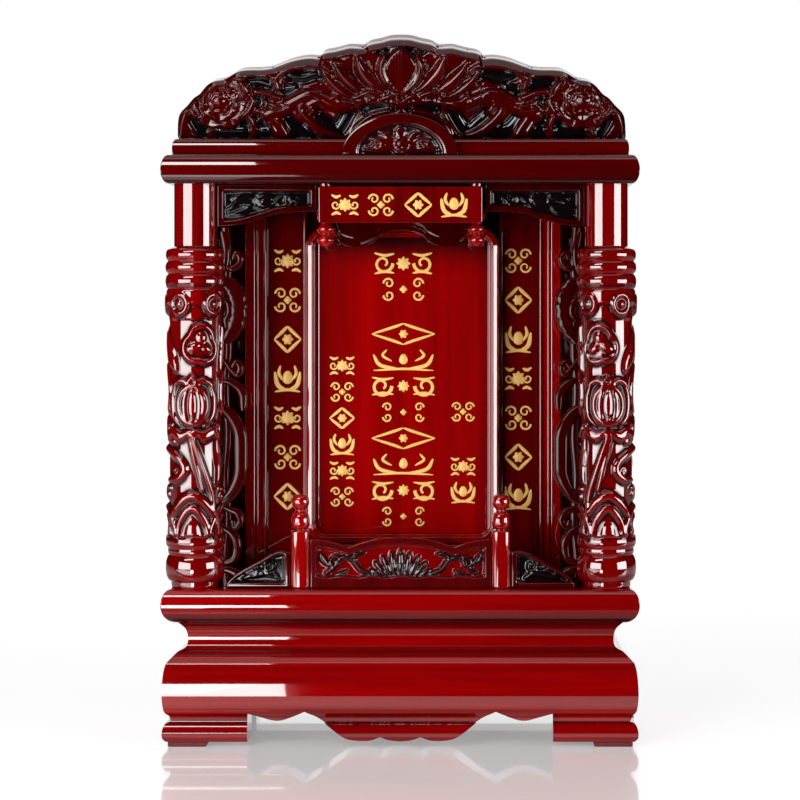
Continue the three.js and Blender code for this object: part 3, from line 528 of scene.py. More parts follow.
SKIRT_RUN_SHARES = [
    [[0.2, 0], [0.08, 0.03], [0.05, 0.075], [0.1, 0.125], [0.2, 0.159]],
    [[0.2, 0.159], [0.37, 0.1592]],
    [[0.37, 0.1592], [0.34, 0.207], [0.15, 0.25], [0.08, 0.31], [0.05, 0.4], [0.07, 0.51], [0.12, 0.6],
     [0.2, 0.664]],
    [[0.2, 0.664], [0.61, 0.747], [0.85, 0.77], [0.98, 0.803], [1, 0.873], [0.9, 0.94], [0.64, 1]],
]
APRON_RUN_SHARES = [
    [[0, 0.015], [0.07, 0.06], [0.133, 0.177]],
    [[0.133, 0.177], [0.2, 0.05], [0.28, 0.04], [0.36, 0.13], [0.441, 0.409], [0.529, 0.734],
     [0.627, 1]],
    [[0.627, 1], [0.725, 0.764], [0.814, 0.665], [0.912, 0.778], [1, 0.926]],
]
SKIRT_REACH = 16.3
SKIRT_INSIDE = 28.3
APRON_RISE = 20.3
BACK_APRON_RISE = 12.0
FRONT_APRON_HALF = 102.0
SIDE_APRON_HALF = 48.0
BACK_APRON_HALF = 110.0
MITRE_GAP = 0.05
EDGE_GAP = 0.0005  # share of a board's half length between the two points of a foot's upright edge
SKIRT_ROWS = 40
# Painted shade in the moulding's coves and under the top board: height share, reach and depth
COVE_SHADES = ((0.748, 0.035, 0.6), (1.0, 0.06, 0.7), (0.16, 0.02, 0.5), (0.62, 0.02, 0.25))


def cut_height(x, half, rise, wavy):
    """Height of the cut under a board at each x: level, or read off the smoothed wavy outline, and
    zero in the feet."""
    line = smooth_runs(APRON_RUN_SHARES, half, rise)
    cut = np.interp(np.abs(x), line[:, 0], line[:, 1]) if wavy else rise
    return np.where(np.abs(x) < half, cut, 0)


def skirt_board(half_length, half_depth, low, high, cut_half, rise, wavy, mitre, columns):
    """One moulded board of the base, facing -Y: the moulding's rows above the cut are carried along X,
    and the ends run into the mitre, x = s * half length - inset * ramp(s)."""
    profile = smooth_runs(SKIRT_RUN_SHARES, SKIRT_REACH, high - low)
    ends = cut_half / half_length + np.array([-EDGE_GAP, EDGE_GAP])
    s = np.unique(np.concatenate([np.linspace(-1, 1, columns), ends, -ends]))
    x = s * half_length
    heights = cut_height(x, cut_half, rise, wavy)[:, None]
    lower = heights + (APRON_RISE - heights) * np.linspace(0, 1, SKIRT_ROWS)[:-1]
    upper = np.append(APRON_RISE, profile[profile[:, 1] > APRON_RISE, 1])
    z = np.concatenate([lower, np.broadcast_to(upper, (len(s), len(upper)))], 1)
    inner = np.full((len(s), 1), SKIRT_INSIDE)
    inset = np.concatenate([np.interp(z, profile[:, 1], profile[:, 0]), inner, inner], 1)
    z = np.concatenate([z, np.full((len(s), 1), high - low), heights], 1)
    ramp = np.clip((np.abs(s) - mitre) / (1 - mitre), 0, 1)[:, None] * np.sign(s)[:, None]
    share = z / (high - low)
    # Painted shade in the coves, from COVE_SHADES.
    dark = sum(depth * np.exp(-((share - at) / reach) ** 2) for at, reach, depth in COVE_SHADES)
    place = [x[:, None] - (inset + MITRE_GAP) * ramp, inset - half_depth, z + low]
    return loft(np.stack(place, -1), values=dark)


class BaseSizes(bpy.types.PropertyGroup):
    lower_round: length_size("Top board lower round", "How far its edge draws in at its foot", 10.5)
    upper_round: length_size("Top board upper round", "How far its edge draws in at its top", 6.0)
    widest: share_size("Widest point", "Height of the top board's widest point, as a share", 0.55)
    pad_ease: length_size("Pad ease", "Rounding of the pads' edges", 1.0)


class TABLET_OT_base(bpy.types.Operator):
    """Builds the moulded base: four mitred boards, the top board, pads and glued blocks"""
    bl_idname = "tablet.base"
    bl_label = "Base"

    def execute(self, context):
        sizes = context.scene.tablet_base
        low, high = node_box("base_front_board")
        top_low, top_high = node_box("base_top_board")
        half_x, half_y, _ = top_high
        for word, quarters, length, depth, cut, mitre, columns in (
            ("front", 0, half_x, half_y, (FRONT_APRON_HALF, APRON_RISE, True), 0.7, 420),
            ("back", 2, half_x, half_y, (BACK_APRON_HALF, BACK_APRON_RISE, False), 0.7, 200),
            ("right", 1, half_y, half_x, (SIDE_APRON_HALF, APRON_RISE, True), 0.62, 220),
            ("left", 3, half_y, half_x, (SIDE_APRON_HALF, APRON_RISE, True), 0.62, 220),
        ):
            skin = turned_plan(skirt_board(length, depth, low[2], high[2], *cut, mitre, columns), quarters)
            add_piece(f"base_{word}_skirt", f"base_{word}_board", [skin], "level_lacquer")
        profile = round_edge(sizes.lower_round / MM, sizes.upper_round / MM, top_low[2],
                             top_high[2] - top_low[2], sizes.widest)
        # Painted shade along the top board's lower round.
        top = moulded_block(top_low, top_high, profile, shade=0.9)
        add_piece("base_top_slab", "base_top_board", [top], "level_lacquer")
        for corner in ("front_left", "front_right", "rear_left", "rear_right"):
            pad = eased_box(*node_box(f"foot_pad_{corner}"), sizes.pad_ease / MM)
            add_piece(f"pad_{corner}", f"foot_pad_{corner}", [pad], "pad_rubber")
            dress_nodes("bare_wood", f"corner_block_{corner}")
        return {"FINISHED"}


# Columns

# Turned beads of a column: bottom, top, core radius and swell, all as shares
COLUMN_BEAD_SHARES = [
    (0.0, 0.022, 0.76, 0.03), (0.016, 0.084, 0.8, 0.175), (0.082, 0.102, 0.84, 0.06),
    (0.1, 0.131, 0.88, 0.09), (0.742, 0.779, 0.86, 0.12), (0.779, 0.811, 0.86, 0.12),
    (0.811, 0.841, 0.86, 0.11),
]
# The column's core radius up its height
COLUMN_CORE_SHARES = [
    (0, 0.76), (0.02, 0.8), (0.084, 0.8), (0.1, 0.84), (0.131, 0.85), (0.14, 0.84), (0.66, 0.84),
    (0.67, 0.86), (0.735, 0.88), (0.742, 0.86), (0.841, 0.86), (0.846, 0.7), (1, 0.7),
]
CARVED_SHARES = (0.131, 0.668)  # lower and upper end of the carving
COLLAR_SHARES = (0.655, 0.742)
COLLAR_VOLUTES = 5
COLLAR_TURN = 27.3  # degrees from the front line to the first cloud
SCALLOP_TURN = 0.48
# Carving of a column in millimetres round it and up from its foot, with heights as shares
COLUMN_HILLS = ((0.0, 1.0), (-29.0, 0.7), (29.0, 0.7))
COLUMN_STEMS = [  # path, half widths, height
    ([(1, 101), (5, 90), (10, 77), (15, 64), (17, 52)], [1.6, 2.2, 2.5, 2.5, 2.2], 1.0),
    ([(-2, 101), (1, 90), (4, 80), (8, 66)], [1.4, 1.8, 1.9, 1.6], 0.7),
    ([(-28, 94), (-20, 92), (-10, 87), (-6, 80), (-12, 74), (-22, 73)], [3, 3.2, 3, 3.2, 3, 2.4], 0.95),
    ([(-30, 150), (-25, 142), (-22, 132), (-25, 120)], 2.6, 0.7),
    ([(30, 145), (27, 136), (27, 126), (30, 118)], 2.6, 0.7),
    ([(-16, 137), (-9, 140), (-4, 138.5), (0, 142), (4, 138.5), (9, 140), (16, 137)], 1.9, 0.8),
]
COLUMN_LEAVES = [  # path, half width, height, crease, ribs
    ([(19, 101), (22, 92), (24, 82), (21, 70)], 4.4, 0.85, 0.2, 5),
    ([(-14, 98), (-20, 100), (-27, 106), (-31, 116)], 4.2, 0.8, 0.2, 4),
    ([(-13, 146), (-18, 153), (-24, 162), (-27, 173)], 6.2, 0.95, 0.2, 4),
    ([(24, 146), (28, 155), (30, 166), (27, 177)], 5.6, 0.95, 0.2, 4),
    ([(0, 113), (0, 119), (0, 127), (0, 134)], 3.6, 0.95, 0.12),
]
COLUMN_LEAF_PAIRS = [  # the same, once on either side
    ([(1, 107), (9, 102.5), (17, 105), (24, 99)], 4.2, 0.95, 0.15),
    ([(9, 109), (16.5, 117), (17.5, 128), (13, 138)], 3.0, 0.85, 0.1),
    ([(3.64, 113), (5.98, 119), (5.98, 127), (3.12, 134)], 2.6, 0.95, 0.12),
]
COLUMN_CURLS = [  # middle, radius, height, turns, hand, start in degrees, width share
    ((-25, 64), 5.2, 0.85, 1.1, 1, 40, 0.36), ((28, 62), 5.0, 0.85, 1.1, -1, 120, 0.36),
    ((-13, 79), 3.2, 0.85, 1.1, 1, 0, 0.36), ((20, 108), 4.4, 0.8, 1.0, 1, 250, 0.4),
    ((-20, 108), 4.4, 0.8, 1.0, -1, 250, 0.4),
]
BUD_MIDDLE = (0, 123.5)
FLOWER_MIDDLE = (6.3, 163.5)
FLOWER_RADIUS = 15.5
COLUMN_DOMES = [  # middle, half width, half height, height, lean
    ((0, 103.5), 4, 3.4, 1.0), (BUD_MIDDLE, 15.5, 16, 0.5), ((1.3, 162), 6.4, 3.6, 0.9, 25),
    ((11.1, 161), 6.0, 3.6, 0.9, -40), ((7.3, 168.5), 4.2, 5.4, 0.9),
]


def column_relief(u, z):
    """Carving of a column in the plane it would unroll to, u round it and z up from its foot, from 0 on
    the core to 1: hills of nested arches, stems with ridges, a lotus bud between two curled leaves, and
    a lobed flower, which is a bar on r = R (0.78 + 0.22 |cos 1.5 (t - 1.45)|) round a dish."""
    forms = [(ridge, *row) for row in COLUMN_STEMS]
    forms += [(leaf, *row) for row in COLUMN_LEAVES]
    for points, *values in COLUMN_LEAF_PAIRS:
        forms += [(leaf, [(side * a, b) for a, b in points], *values) for side in (-1, 1)]
    forms += [(volute, *row) for row in COLUMN_CURLS]
    forms += [(dome, *row) for row in COLUMN_DOMES]
    for centre, size in COLUMN_HILLS:
        for half, tall, bar, height in ((23, 27, 3.3, 0.95), (13.5, 19, 2.8, 0.8)):
            half, tall = half * size, tall * size
            arch = [(centre + a * half, 36 + b * tall) for a, b in ((-0.76, 0.5), (0, 1), (0.76, 0.5))]
            arch = [(centre - half, 34), *arch, (centre + half, 34)]
            forms.append((ridge, arch, bar * size, height))
        forms.append((dome, (centre, 34), 6 * size, 12 * size, 0.6))
    turn = np.linspace(0, 2 * np.pi, 25)
    oval = np.stack([BUD_MIDDLE[0] + 11 * np.cos(turn), BUD_MIDDLE[1] + 12.5 * np.sin(turn)], -1)
    forms.append((ridge, oval, 2.3, 0.95))
    h = carved(u, z, forms)
    du, dz = u - FLOWER_MIDDLE[0], z - FLOWER_MIDDLE[1]
    edge = FLOWER_RADIUS * (0.78 + 0.22 * np.abs(np.cos(1.5 * (np.arctan2(dz, du) - 1.45))))
    share = np.hypot(du, dz) / edge
    h = np.maximum(h, np.sqrt(np.clip(1 - ((share - 0.84) / 0.15) ** 2, 0, None)))
    return np.maximum(h, np.where(share < 0.9, 0.4, 0))


def collar_relief(angle, z, radius, tall):
    """The collar of coiled clouds, from 0 to 1: rings with round bosses at even turns, on a shoulder
    with a scalloped foot."""
    clouds = np.zeros(angle.shape)
    for k in range(COLLAR_VOLUTES):
        at = math.radians(360 / COLLAR_VOLUTES * k - COLLAR_TURN)
        u = ((angle - at + np.pi) % (2 * np.pi) - np.pi) * radius
        out = np.hypot(u, z - 0.703 * tall)
        for middle, half, height in ((6.3, 1.9, 1.0), (0, 3.6, 0.95)):
            clouds = np.maximum(clouds, height * np.sqrt(np.clip(1 - ((out - middle) / half) ** 2, 0, None)))
    scallops = 4.5 * np.abs(np.sin(COLLAR_VOLUTES * (angle + SCALLOP_TURN) / 2))
    shoulder = np.clip((z - 0.684 * tall - scallops) / 1.5, 0, 1)
    return np.maximum(clouds, 0.5 * shoulder * (z < COLLAR_SHARES[1] * tall))


class ColumnSizes(bpy.types.PropertyGroup):
    relief: length_size("Relief", "Height of the carving over the column's core", 2.9)
    radius: length_size("Radius", "Greatest radius of a column", 20.85)
    sides: count_size("Sides", "Points round a column", 232, 24)
    rows: count_size("Rows", "Rows of points up a column", 380, 40)


def column_skin(sizes, low, high, side):
    """A column as rings: radius = core(z) + bead(z) + relief(u, z), u being the arc from the line that
    faces the viewer. A bead is half an ellipse. The carving has two like halves, front and rear, and
    painted shade darkens its creases, where the relief lies under its own blurred height."""
    tall = high[2] - low[2]
    radius, lift = sizes.radius / MM, sizes.relief / MM
    share = np.linspace(0, tall, sizes.rows) / tall
    core = np.interp(share, *np.array(COLUMN_CORE_SHARES).T)
    for bottom, top, base, swell in COLUMN_BEAD_SHARES:
        middle, half = (bottom + top) / 2, (top - bottom) / 2
        bulge = base + swell * np.sqrt(np.clip(1 - ((share - middle) / half) ** 2, 0, None))
        core = np.where(np.abs(share - middle) < half, np.maximum(core, bulge), core)
    angle, share = np.meshgrid(np.linspace(-np.pi, np.pi, sizes.sides, endpoint=False), share)
    z = share * tall
    folded = np.where(np.abs(angle) > np.pi / 2, angle - np.sign(angle) * np.pi, angle)
    relief = column_relief(folded * radius, z) * ((share > CARVED_SHARES[0]) & (share < CARVED_SHARES[1]))
    collar = (share > COLLAR_SHARES[0]) & (share < COLLAR_SHARES[1])
    clouds = np.maximum(collar_relief(angle, z, radius, tall), relief)
    relief = softened(np.where(collar, clouds, relief), 3)
    r = np.minimum(core[:, None] * radius + lift * relief, radius)
    x = (low[0] + high[0]) / 2 + side * r * np.sin(angle)
    y = (low[1] + high[1]) / 2 - r * np.cos(angle)
    # Painted shade in the carving's creases, where the relief lies under its blurred height.
    dark = np.clip(8 * (softened(relief, 10) - relief), 0, 0.95)
    return loft(np.stack([x, y, z + low[2]], -1), values=dark)


class TABLET_OT_columns(bpy.types.Operator):
    """Builds the two carved columns"""
    bl_idname = "tablet.columns"
    bl_label = "Columns"

    def execute(self, context):
        for word, side in SIDES:
            skin = column_skin(context.scene.tablet_columns, *node_box(f"column_{word}"), -side)
            add_piece(f"carved_column_{word}", f"column_{word}", [skin], "column_lacquer", smooth=50.0)
        return {"FINISHED"}


# Cornice


class CorniceSizes(bpy.types.PropertyGroup):
    board_round: length_size("Cornice round", "How far the cornice's edge draws in", 5.0)
    step_round: length_size("Step round", "Rounding along the top of the step", 3.0)
    widest: share_size("Widest point", "Height of the widest point as a share", 0.45)


class TABLET_OT_cornice(bpy.types.Operator):
    """Builds the cornice board and the stepped board on it"""
    bl_idname = "tablet.cornice"
    bl_label = "Cornice"

    def execute(self, context):
        sizes = context.scene.tablet_cornice
        low, high = node_box("cornice_board")
        edge = sizes.board_round / MM
        profile = round_edge(edge, edge, low[2], high[2] - low[2], sizes.widest)
        # Painted shade along the cornice's lower round.
        board = moulded_block(low, high, profile, rear=False, shade=0.7)
        add_piece("cornice", "cornice_board", [board], "cornice_lacquer")
        low, high = node_box("cornice_step_board")
        upper = round_edge(0, sizes.step_round / MM, low[2], high[2] - low[2], sizes.widest)[11:]
        profile = np.vstack([[0.6, low[2]], [0.05, low[2] + 0.5], upper])
        step = moulded_block(low, high, profile, rear=False)
        add_piece("cornice_step", "cornice_step_board", [step], "cornice_lacquer")
        return {"FINISHED"}


# Crest

# The crest's outline from its middle out, as shares of its half width and its length
CREST_OUTLINE_SHARES = [
    [0.0, 1.0], [0.044, 0.995], [0.088, 0.971], [0.132, 0.952], [0.15, 0.93], [0.168, 0.913],
    [0.221, 0.918], [0.256, 0.903], [0.292, 0.884], [0.327, 0.872], [0.349, 0.85], [0.358, 0.816],
    [0.398, 0.821], [0.442, 0.811], [0.487, 0.787], [0.523, 0.758], [0.549, 0.738], [0.576, 0.719],
    [0.621, 0.709], [0.665, 0.709], [0.701, 0.702], [0.719, 0.689], [0.737, 0.67], [0.755, 0.645],
    [0.782, 0.616], [0.818, 0.603], [0.849, 0.572], [0.872, 0.523], [0.891, 0.474], [0.918, 0.434],
    [0.946, 0.365], [0.965, 0.325], [0.979, 0.291], [0.99, 0.236], [0.996, 0.126], [1.0, 0.0],
]
CREST_MIDDLE_PX = 396.5
CREST_SCALE = 0.954
# The carving's places are pixels of the photograph's left half: path, half width, and height share
CREST_HOLLOW_PX = [
    ([(284, 73), (297, 76), (312, 72), (326, 76)], 5.5), ([(238, 82), (254, 80), (270, 85)], 5),
    ([(276, 89), (291, 87)], 4.5), ([(329, 80), (339, 90), (346, 98)], 6), ([(250, 101), (261, 105)], 5.5),
    ([(187, 112), (194, 125), (202, 136)], 6.5), ([(214, 131), (239, 131)], 7),
    ([(256, 131), (268, 131)], 7), ([(278, 117), (290, 129), (306, 132)], 7.5),
    ([(308, 112), (321, 122), (332, 129), (344, 110)], 6), ([(363, 108), (388, 104)], 5.5),
    ([(244, 119), (253, 120)], 4.5), ([(202, 122), (222, 123), (238, 118)], 3.5),
    ([(374, 46), (383, 50), (391, 46)], 4), ([(252, 92), (262, 95)], 3),
]
CREST_RIDGE_PX = [
    ([(273, 87), (271, 77), (280, 68), (294, 64), (316, 63)], 4.2, 0.94),
    ([(345, 102), (331, 104), (318, 98), (305, 93), (291, 99), (276, 108), (262, 114)], 8.5, 1.0),
    ([(303, 98), (295, 107), (302, 118), (317, 131), (337, 140)], 6, 0.92),
    ([(277, 107), (269, 115), (276, 127), (283, 140)], 6, 0.88),
    ([(262, 113), (249, 109), (243, 113)], 4.5, 0.85), ([(250, 90), (262, 92), (274, 97)], 4.2, 0.85),
    ([(176, 139), (177, 124), (182, 110), (190, 100)], 5, 0.9), ([(205, 139), (207, 126)], 4, 0.85),
    ([(247, 139), (248, 126), (243, 113)], 4, 0.85), ([(331, 75), (342, 84), (352, 96)], 4, 0.85),
    ([(345, 102), (360, 99), (376, 98), (396.5, 102)], 5.5, 0.9),
    ([(236, 75), (252, 72), (270, 76)], 3, 0.85),
    ([(320, 64), (330, 71), (337, 80)], 3.5, 0.86),
    ([(346, 139), (352, 126), (366, 115), (384, 110)], 3.5, 0.8),
    ([(272, 140), (270, 132), (264, 122)], 3, 0.8), ([(312, 100), (304, 104), (308, 110)], 4.5, 0.98),
    ([(322, 100), (330, 96), (336, 100)], 4, 0.96),
    ([(176, 139), (210, 140), (250, 140), (340, 140)], 2.6, 0.7),
]
CREST_LEAF_PX = [
    ([(362, 99), (342, 93), (327, 81), (317, 67)], 6.5, 0.78),
    ([(374, 96), (352, 86), (338, 73), (329, 59)], 8.5, 0.86),
    ([(386, 93), (370, 83), (358, 69), (352, 52)], 9.5, 0.94),
    ([(392, 90), (381, 79), (377, 65), (381, 50)], 7, 0.97),
    ([(397, 93), (380, 95), (364, 91), (349, 97)], 5, 1.0), ([(397, 101), (386, 95), (374, 99)], 4.2, 1.0),
    ([(236, 107), (241, 95), (238, 84), (229, 78)], 6, 0.9),
    ([(190, 105), (187, 96), (195, 87), (206, 83)], 5.5, 0.86),
    ([(226, 118), (240, 113), (248, 102), (246, 93)], 5, 0.86),
    ([(201, 119), (189, 113), (184, 104)], 5, 0.86),
    ([(262, 100), (270, 105), (282, 105)], 4, 0.94), ([(255, 108), (262, 103), (258, 97)], 3.5, 0.9),
]
CREST_FLOWER_PX = (214, 101)
CREST_FLOWER_RADIUS_PX = 29
CREST_BULB_PX = [(396.5, 91), (396.5, 78), (396.5, 64), (396.5, 48)]
CREST_BULB_HALF_PX = 17.5


class CrestSizes(bpy.types.PropertyGroup):
    lean: lean_size("Lean", "How far the crest leans forward", 22)
    relief: length_size("Relief", "Depth from the crest's highest carving to its ground", 11.0)
    carved_thickness: length_size("Carved board", "Thickness of the carved board", 16.15)
    whole_thickness: length_size("Whole crest", "Thickness of the carved board and its backing", 24.0)
    rim: length_size("Rim", "Width of the sloped rim along the crest's top", 3.4)
    rim_fall: length_size("Rim fall", "How far the rim slopes back", 7.0)
    columns: count_size("Columns", "Points along the crest", 560, 40)
    rows: count_size("Rows", "Points up the crest", 150, 20)


def crest_place(points, foot_y, foot_z, lean, view):
    """Pixels of the photograph to places on the leaning crest, in millimetres across and up its face:
    each is cast from the camera back to the plane of the crest by the depth that the plane has there."""
    px = np.asarray(points, float)
    across = (CREST_MIDDLE_PX - px[:, 0]) * PIXEL
    high = (PIXEL_FLOOR - px[:, 1]) * PIXEL
    up = (high - foot_z) / math.cos(lean)
    eye_height = view.eye_height / MM
    for _ in range(3):
        depth = 1 + (foot_y - up * math.sin(lean) - CAD_BOX[0][1] / MM) / (view.distance / MM)
        up = (eye_height + (high - eye_height) * depth - foot_z) / math.cos(lean)
    return np.stack([across * depth, up * CREST_SCALE], -1)


class TABLET_OT_crest(bpy.types.Operator):
    """Builds the leaning carved crest, its backing, its braces and the medallion at its foot"""
    bl_idname = "tablet.crest"
    bl_label = "Crest"

    def execute(self, context):
        sizes = context.scene.tablet_crest
        low, high = node_box("crest_board")
        _, back_high = node_box("crest_backing")
        lean, carved_depth, whole = sizes.lean, sizes.carved_thickness / MM, sizes.whole_thickness / MM
        half_width = high[0]
        length = (back_high[2] - low[2] - whole * math.sin(lean)) / math.cos(lean)
        foot_z = low[2] - 0.3
        foot_y = low[1] + length * math.sin(lean)
        line = smooth_path(np.array(CREST_OUTLINE_SHARES) * np.array([half_width, length]), 4)
        half = spread(sizes.columns // 2, 0.2)
        xs = np.concatenate([-half[::-1][:-1], half]) * (half_width - 0.3)
        tops = np.maximum(np.interp(np.abs(xs), line[:, 0], line[:, 1]), 1.5)
        bottoms = np.zeros(len(xs))

        def place(points):
            return crest_place(points, foot_y, foot_z, lean, context.scene.tablet_stage)

        def carve(x, z):
            u = np.abs(x)
            h = 0.56 + 0.09 * np.sin(u / 4.2 + 0.6 * np.sin(z / 7.0)) * np.cos(z / 5.0)
            h, recess = hollowed(h, u, z, [(place(p), r * PIXEL) for p, r in CREST_HOLLOW_PX], 1.3, 0.4)
            for points, halves, height in CREST_RIDGE_PX:
                q, _, _ = band(u, z, place(points), halves * PIXEL)
                h = np.maximum(h, height * np.sqrt(np.clip(1 - 0.9 * q ** 2, 0, None)) * (q < 1))
                recess = np.where(q < 1, 0, recess)
            for points, halves, height in CREST_LEAF_PX:
                form = leaf(u, z, place(points), halves * PIXEL, height, 0.0)
                recess = np.where(form > 0.3, 0, recess)
                h = np.where(form > 0.3, np.maximum(0.55 * h, form), h)
            centre = place([CREST_FLOWER_PX])[0]
            size = CREST_FLOWER_RADIUS_PX * PIXEL
            flower = carved(u, z, [
                (bloom, centre, size, 0.85, 6, 3, 0), (dome, centre, 0.44 * size, 0.38 * size, 1.0, 20)])
            h = np.where(flower > 0.2, flower, h)
            bulb = leaf(u, z, place(CREST_BULB_PX) * np.array([0, 1]), CREST_BULB_HALF_PX * PIXEL, 1.0, 0.0)
            bulb = 0.85 * np.clip(2.2 * bulb, 0, 1) * (1 - 0.07 * np.cos(u * 1.6) ** 2)
            recess = np.where((flower > 0.2) | (bulb > 0.2), 0, recess)
            rim = np.clip((4.2 - (np.interp(u, line[:, 0], line[:, 1]) - z)) / 1.2, 0, 1)
            h = np.maximum(np.maximum(h, bulb), rim * 0.95)
            ground = np.clip((4.0 - z) / 2.0, 0, 1)
            # Painted shade: the carving's low parts, below half its height, darken by 0.3.
            recess = recess * (1 - rim) + 0.3 * (h < 0.5)
            return np.clip(h * (1 - 0.3 * ground), 0, 1), np.clip(recess, 0, 1)

        def seated(skin):
            """Cut level over the step, leaned, and carried to the crest's foot."""
            x, y, z = skin[0].T
            floor = 0.3 / math.cos(lean) - y * math.tan(lean)
            cut = np.stack([x, y, floor + z * (1 - floor / length)], -1)
            return leaned((cut,) + skin[1:], math.degrees(lean), (0, foot_y, foot_z))

        board = relief_board(xs, bottoms, tops, 0.0, carved_depth, sizes.relief / MM, carve, sizes.rows, 1.0,
                             (sizes.rim / MM, sizes.rim_fall / MM), soft=4)
        flat = relief_board(xs[::4], bottoms[::4], tops[::4], carved_depth, whole, 0.0,
                            lambda x, z: (x * 0, x * 0), 16, 0.4)
        add_piece("crest_carving", "crest_board", [seated(board)], "crest_lacquer", smooth=60.0)
        add_piece("crest_back_panel", "crest_backing", [seated(flat)], "back_lacquer")
        dress_nodes("bare_wood", "crest_brace_left", "crest_brace_right")
        self.medallion()
        return {"FINISHED"}

    def medallion(self):
        """The arched block at the crest's foot: a smooth arch band round a carved fan of leaves."""
        low, high = node_box("crest_medallion")
        half, bottom, tall = high[0], low[2], high[2] - low[2]
        xs = spread(150, 0.5) * 2 * half - half
        tops = bottom + tall * np.sqrt(np.clip(1 - (xs / half) ** 2, 0.004, None))
        rim, scale = 0.26, 0.88

        def carve(x, z):
            r = np.hypot(x / half, (z - bottom) / tall)
            band_rise = np.sqrt(np.clip(1 - ((r - (1 - rim / 2)) / (rim / 2)) ** 2, 0, None))
            h = np.where(r > 1 - rim, 0.75 + 0.25 * band_rise, np.where(r > 1 - 1.35 * rim, 0.5, 0.2))
            forms = [(bloom, (0, 8), 8.5, 0.95, 6, 2, 3), (volute, (17, 6.5), 4.2, 0.85, 1.3, 1, 0),
                     (leaf, [(0, 12), (1.5, 17), (0, 21.5)], 3.2, 0.85, 0.3)]
            for tip, height in (((16, 17), 0.8), ((23, 12), 0.85), ((28, 5), 0.8)):
                path = [(6, 4), (0.6 * tip[0], 0.7 * tip[1] + 2), tip]
                forms.append((leaf, path, 3.2, height, 0.3, 3))
            carving = carved(np.abs(x) / scale, (z - bottom) / scale, forms) * (r < 1 - 1.2 * rim)
            return np.maximum(h, carving), np.where((r < 1 - rim) & (carving < 0.25), 0.8, 0.0)

        skin = relief_board(xs, np.full(len(xs), bottom), tops, low[1], high[1] - 8, 4.0, carve, 90, 0.9)
        add_piece("crest_medallion_carving", "crest_medallion", [skin], "crest_lacquer", smooth=55.0)


# Header

PENDANT_PROFILE_SHARES = [
    (0.6, 0), (0.86, 0.05), (1, 0.1), (0.84, 0.155), (0.62, 0.19), (0.78, 0.215), (1, 0.27),
    (0.84, 0.325), (0.6, 0.355), (0.6, 0.405), (0.82, 0.43), (1, 0.5), (0.9, 0.57), (0.72, 0.6),
    (0.72, 0.62), (0.72, 1),
]
VALANCE_RUN_SHARES = [
    [[0, 0.28], [0.12, 0.26], [0.25, 0.2]],
    [[0.25, 0.2], [0.33, 0.09], [0.52, 0], [0.72, 0.08], [0.77, 0.28]],
    [[0.77, 0.28], [0.88, 0.42], [1, 0.45]],
]
SPANDREL_DROP_SHARES = [
    [0, 0.37], [0.18, 0.35], [0.38, 0.32], [0.55, 0.2], [0.72, 0.08], [0.85, 0.02], [1, 0],
]
SPANDREL_FORMS = [
    (bloom, (36, 17.5), 6.5, 0.95, 5, 2, 3), (volute, (18, 19), 4, 0.8, 1.3, 1, 200),
    (leaf, [(28, 16), (21, 14), (12, 19)], 2.6, 0.85, 0.3, 3),
    (leaf, [(42, 20), (50, 20), (58, 13)], 3.2, 0.85, 0.3, 3),
    (leaf, [(44, 14), (50, 10), (60, 8)], 2.8, 0.8, 0.3, 3),
    (leaf, [(40, 22), (48, 23), (57, 19)], 2.0, 0.75, 0.3),
    (ridge, [(12, 14), (22, 21), (34, 12), (46, 15), (60, 12)], 1.2, 0.6),
]


class HeaderSizes(bpy.types.PropertyGroup):
    plaque_lean: lean_size("Plaque lean", "How far the plaque leans forward", 8)
    plaque_thickness: length_size("Plaque thickness", "Thickness of the plaque", 6.0)
    plaque_height: length_size("Plaque height", "Height of the plaque along its face", 24.6)
    border: length_size("Window border", "Plain border round a spandrel's carving", 4.0)


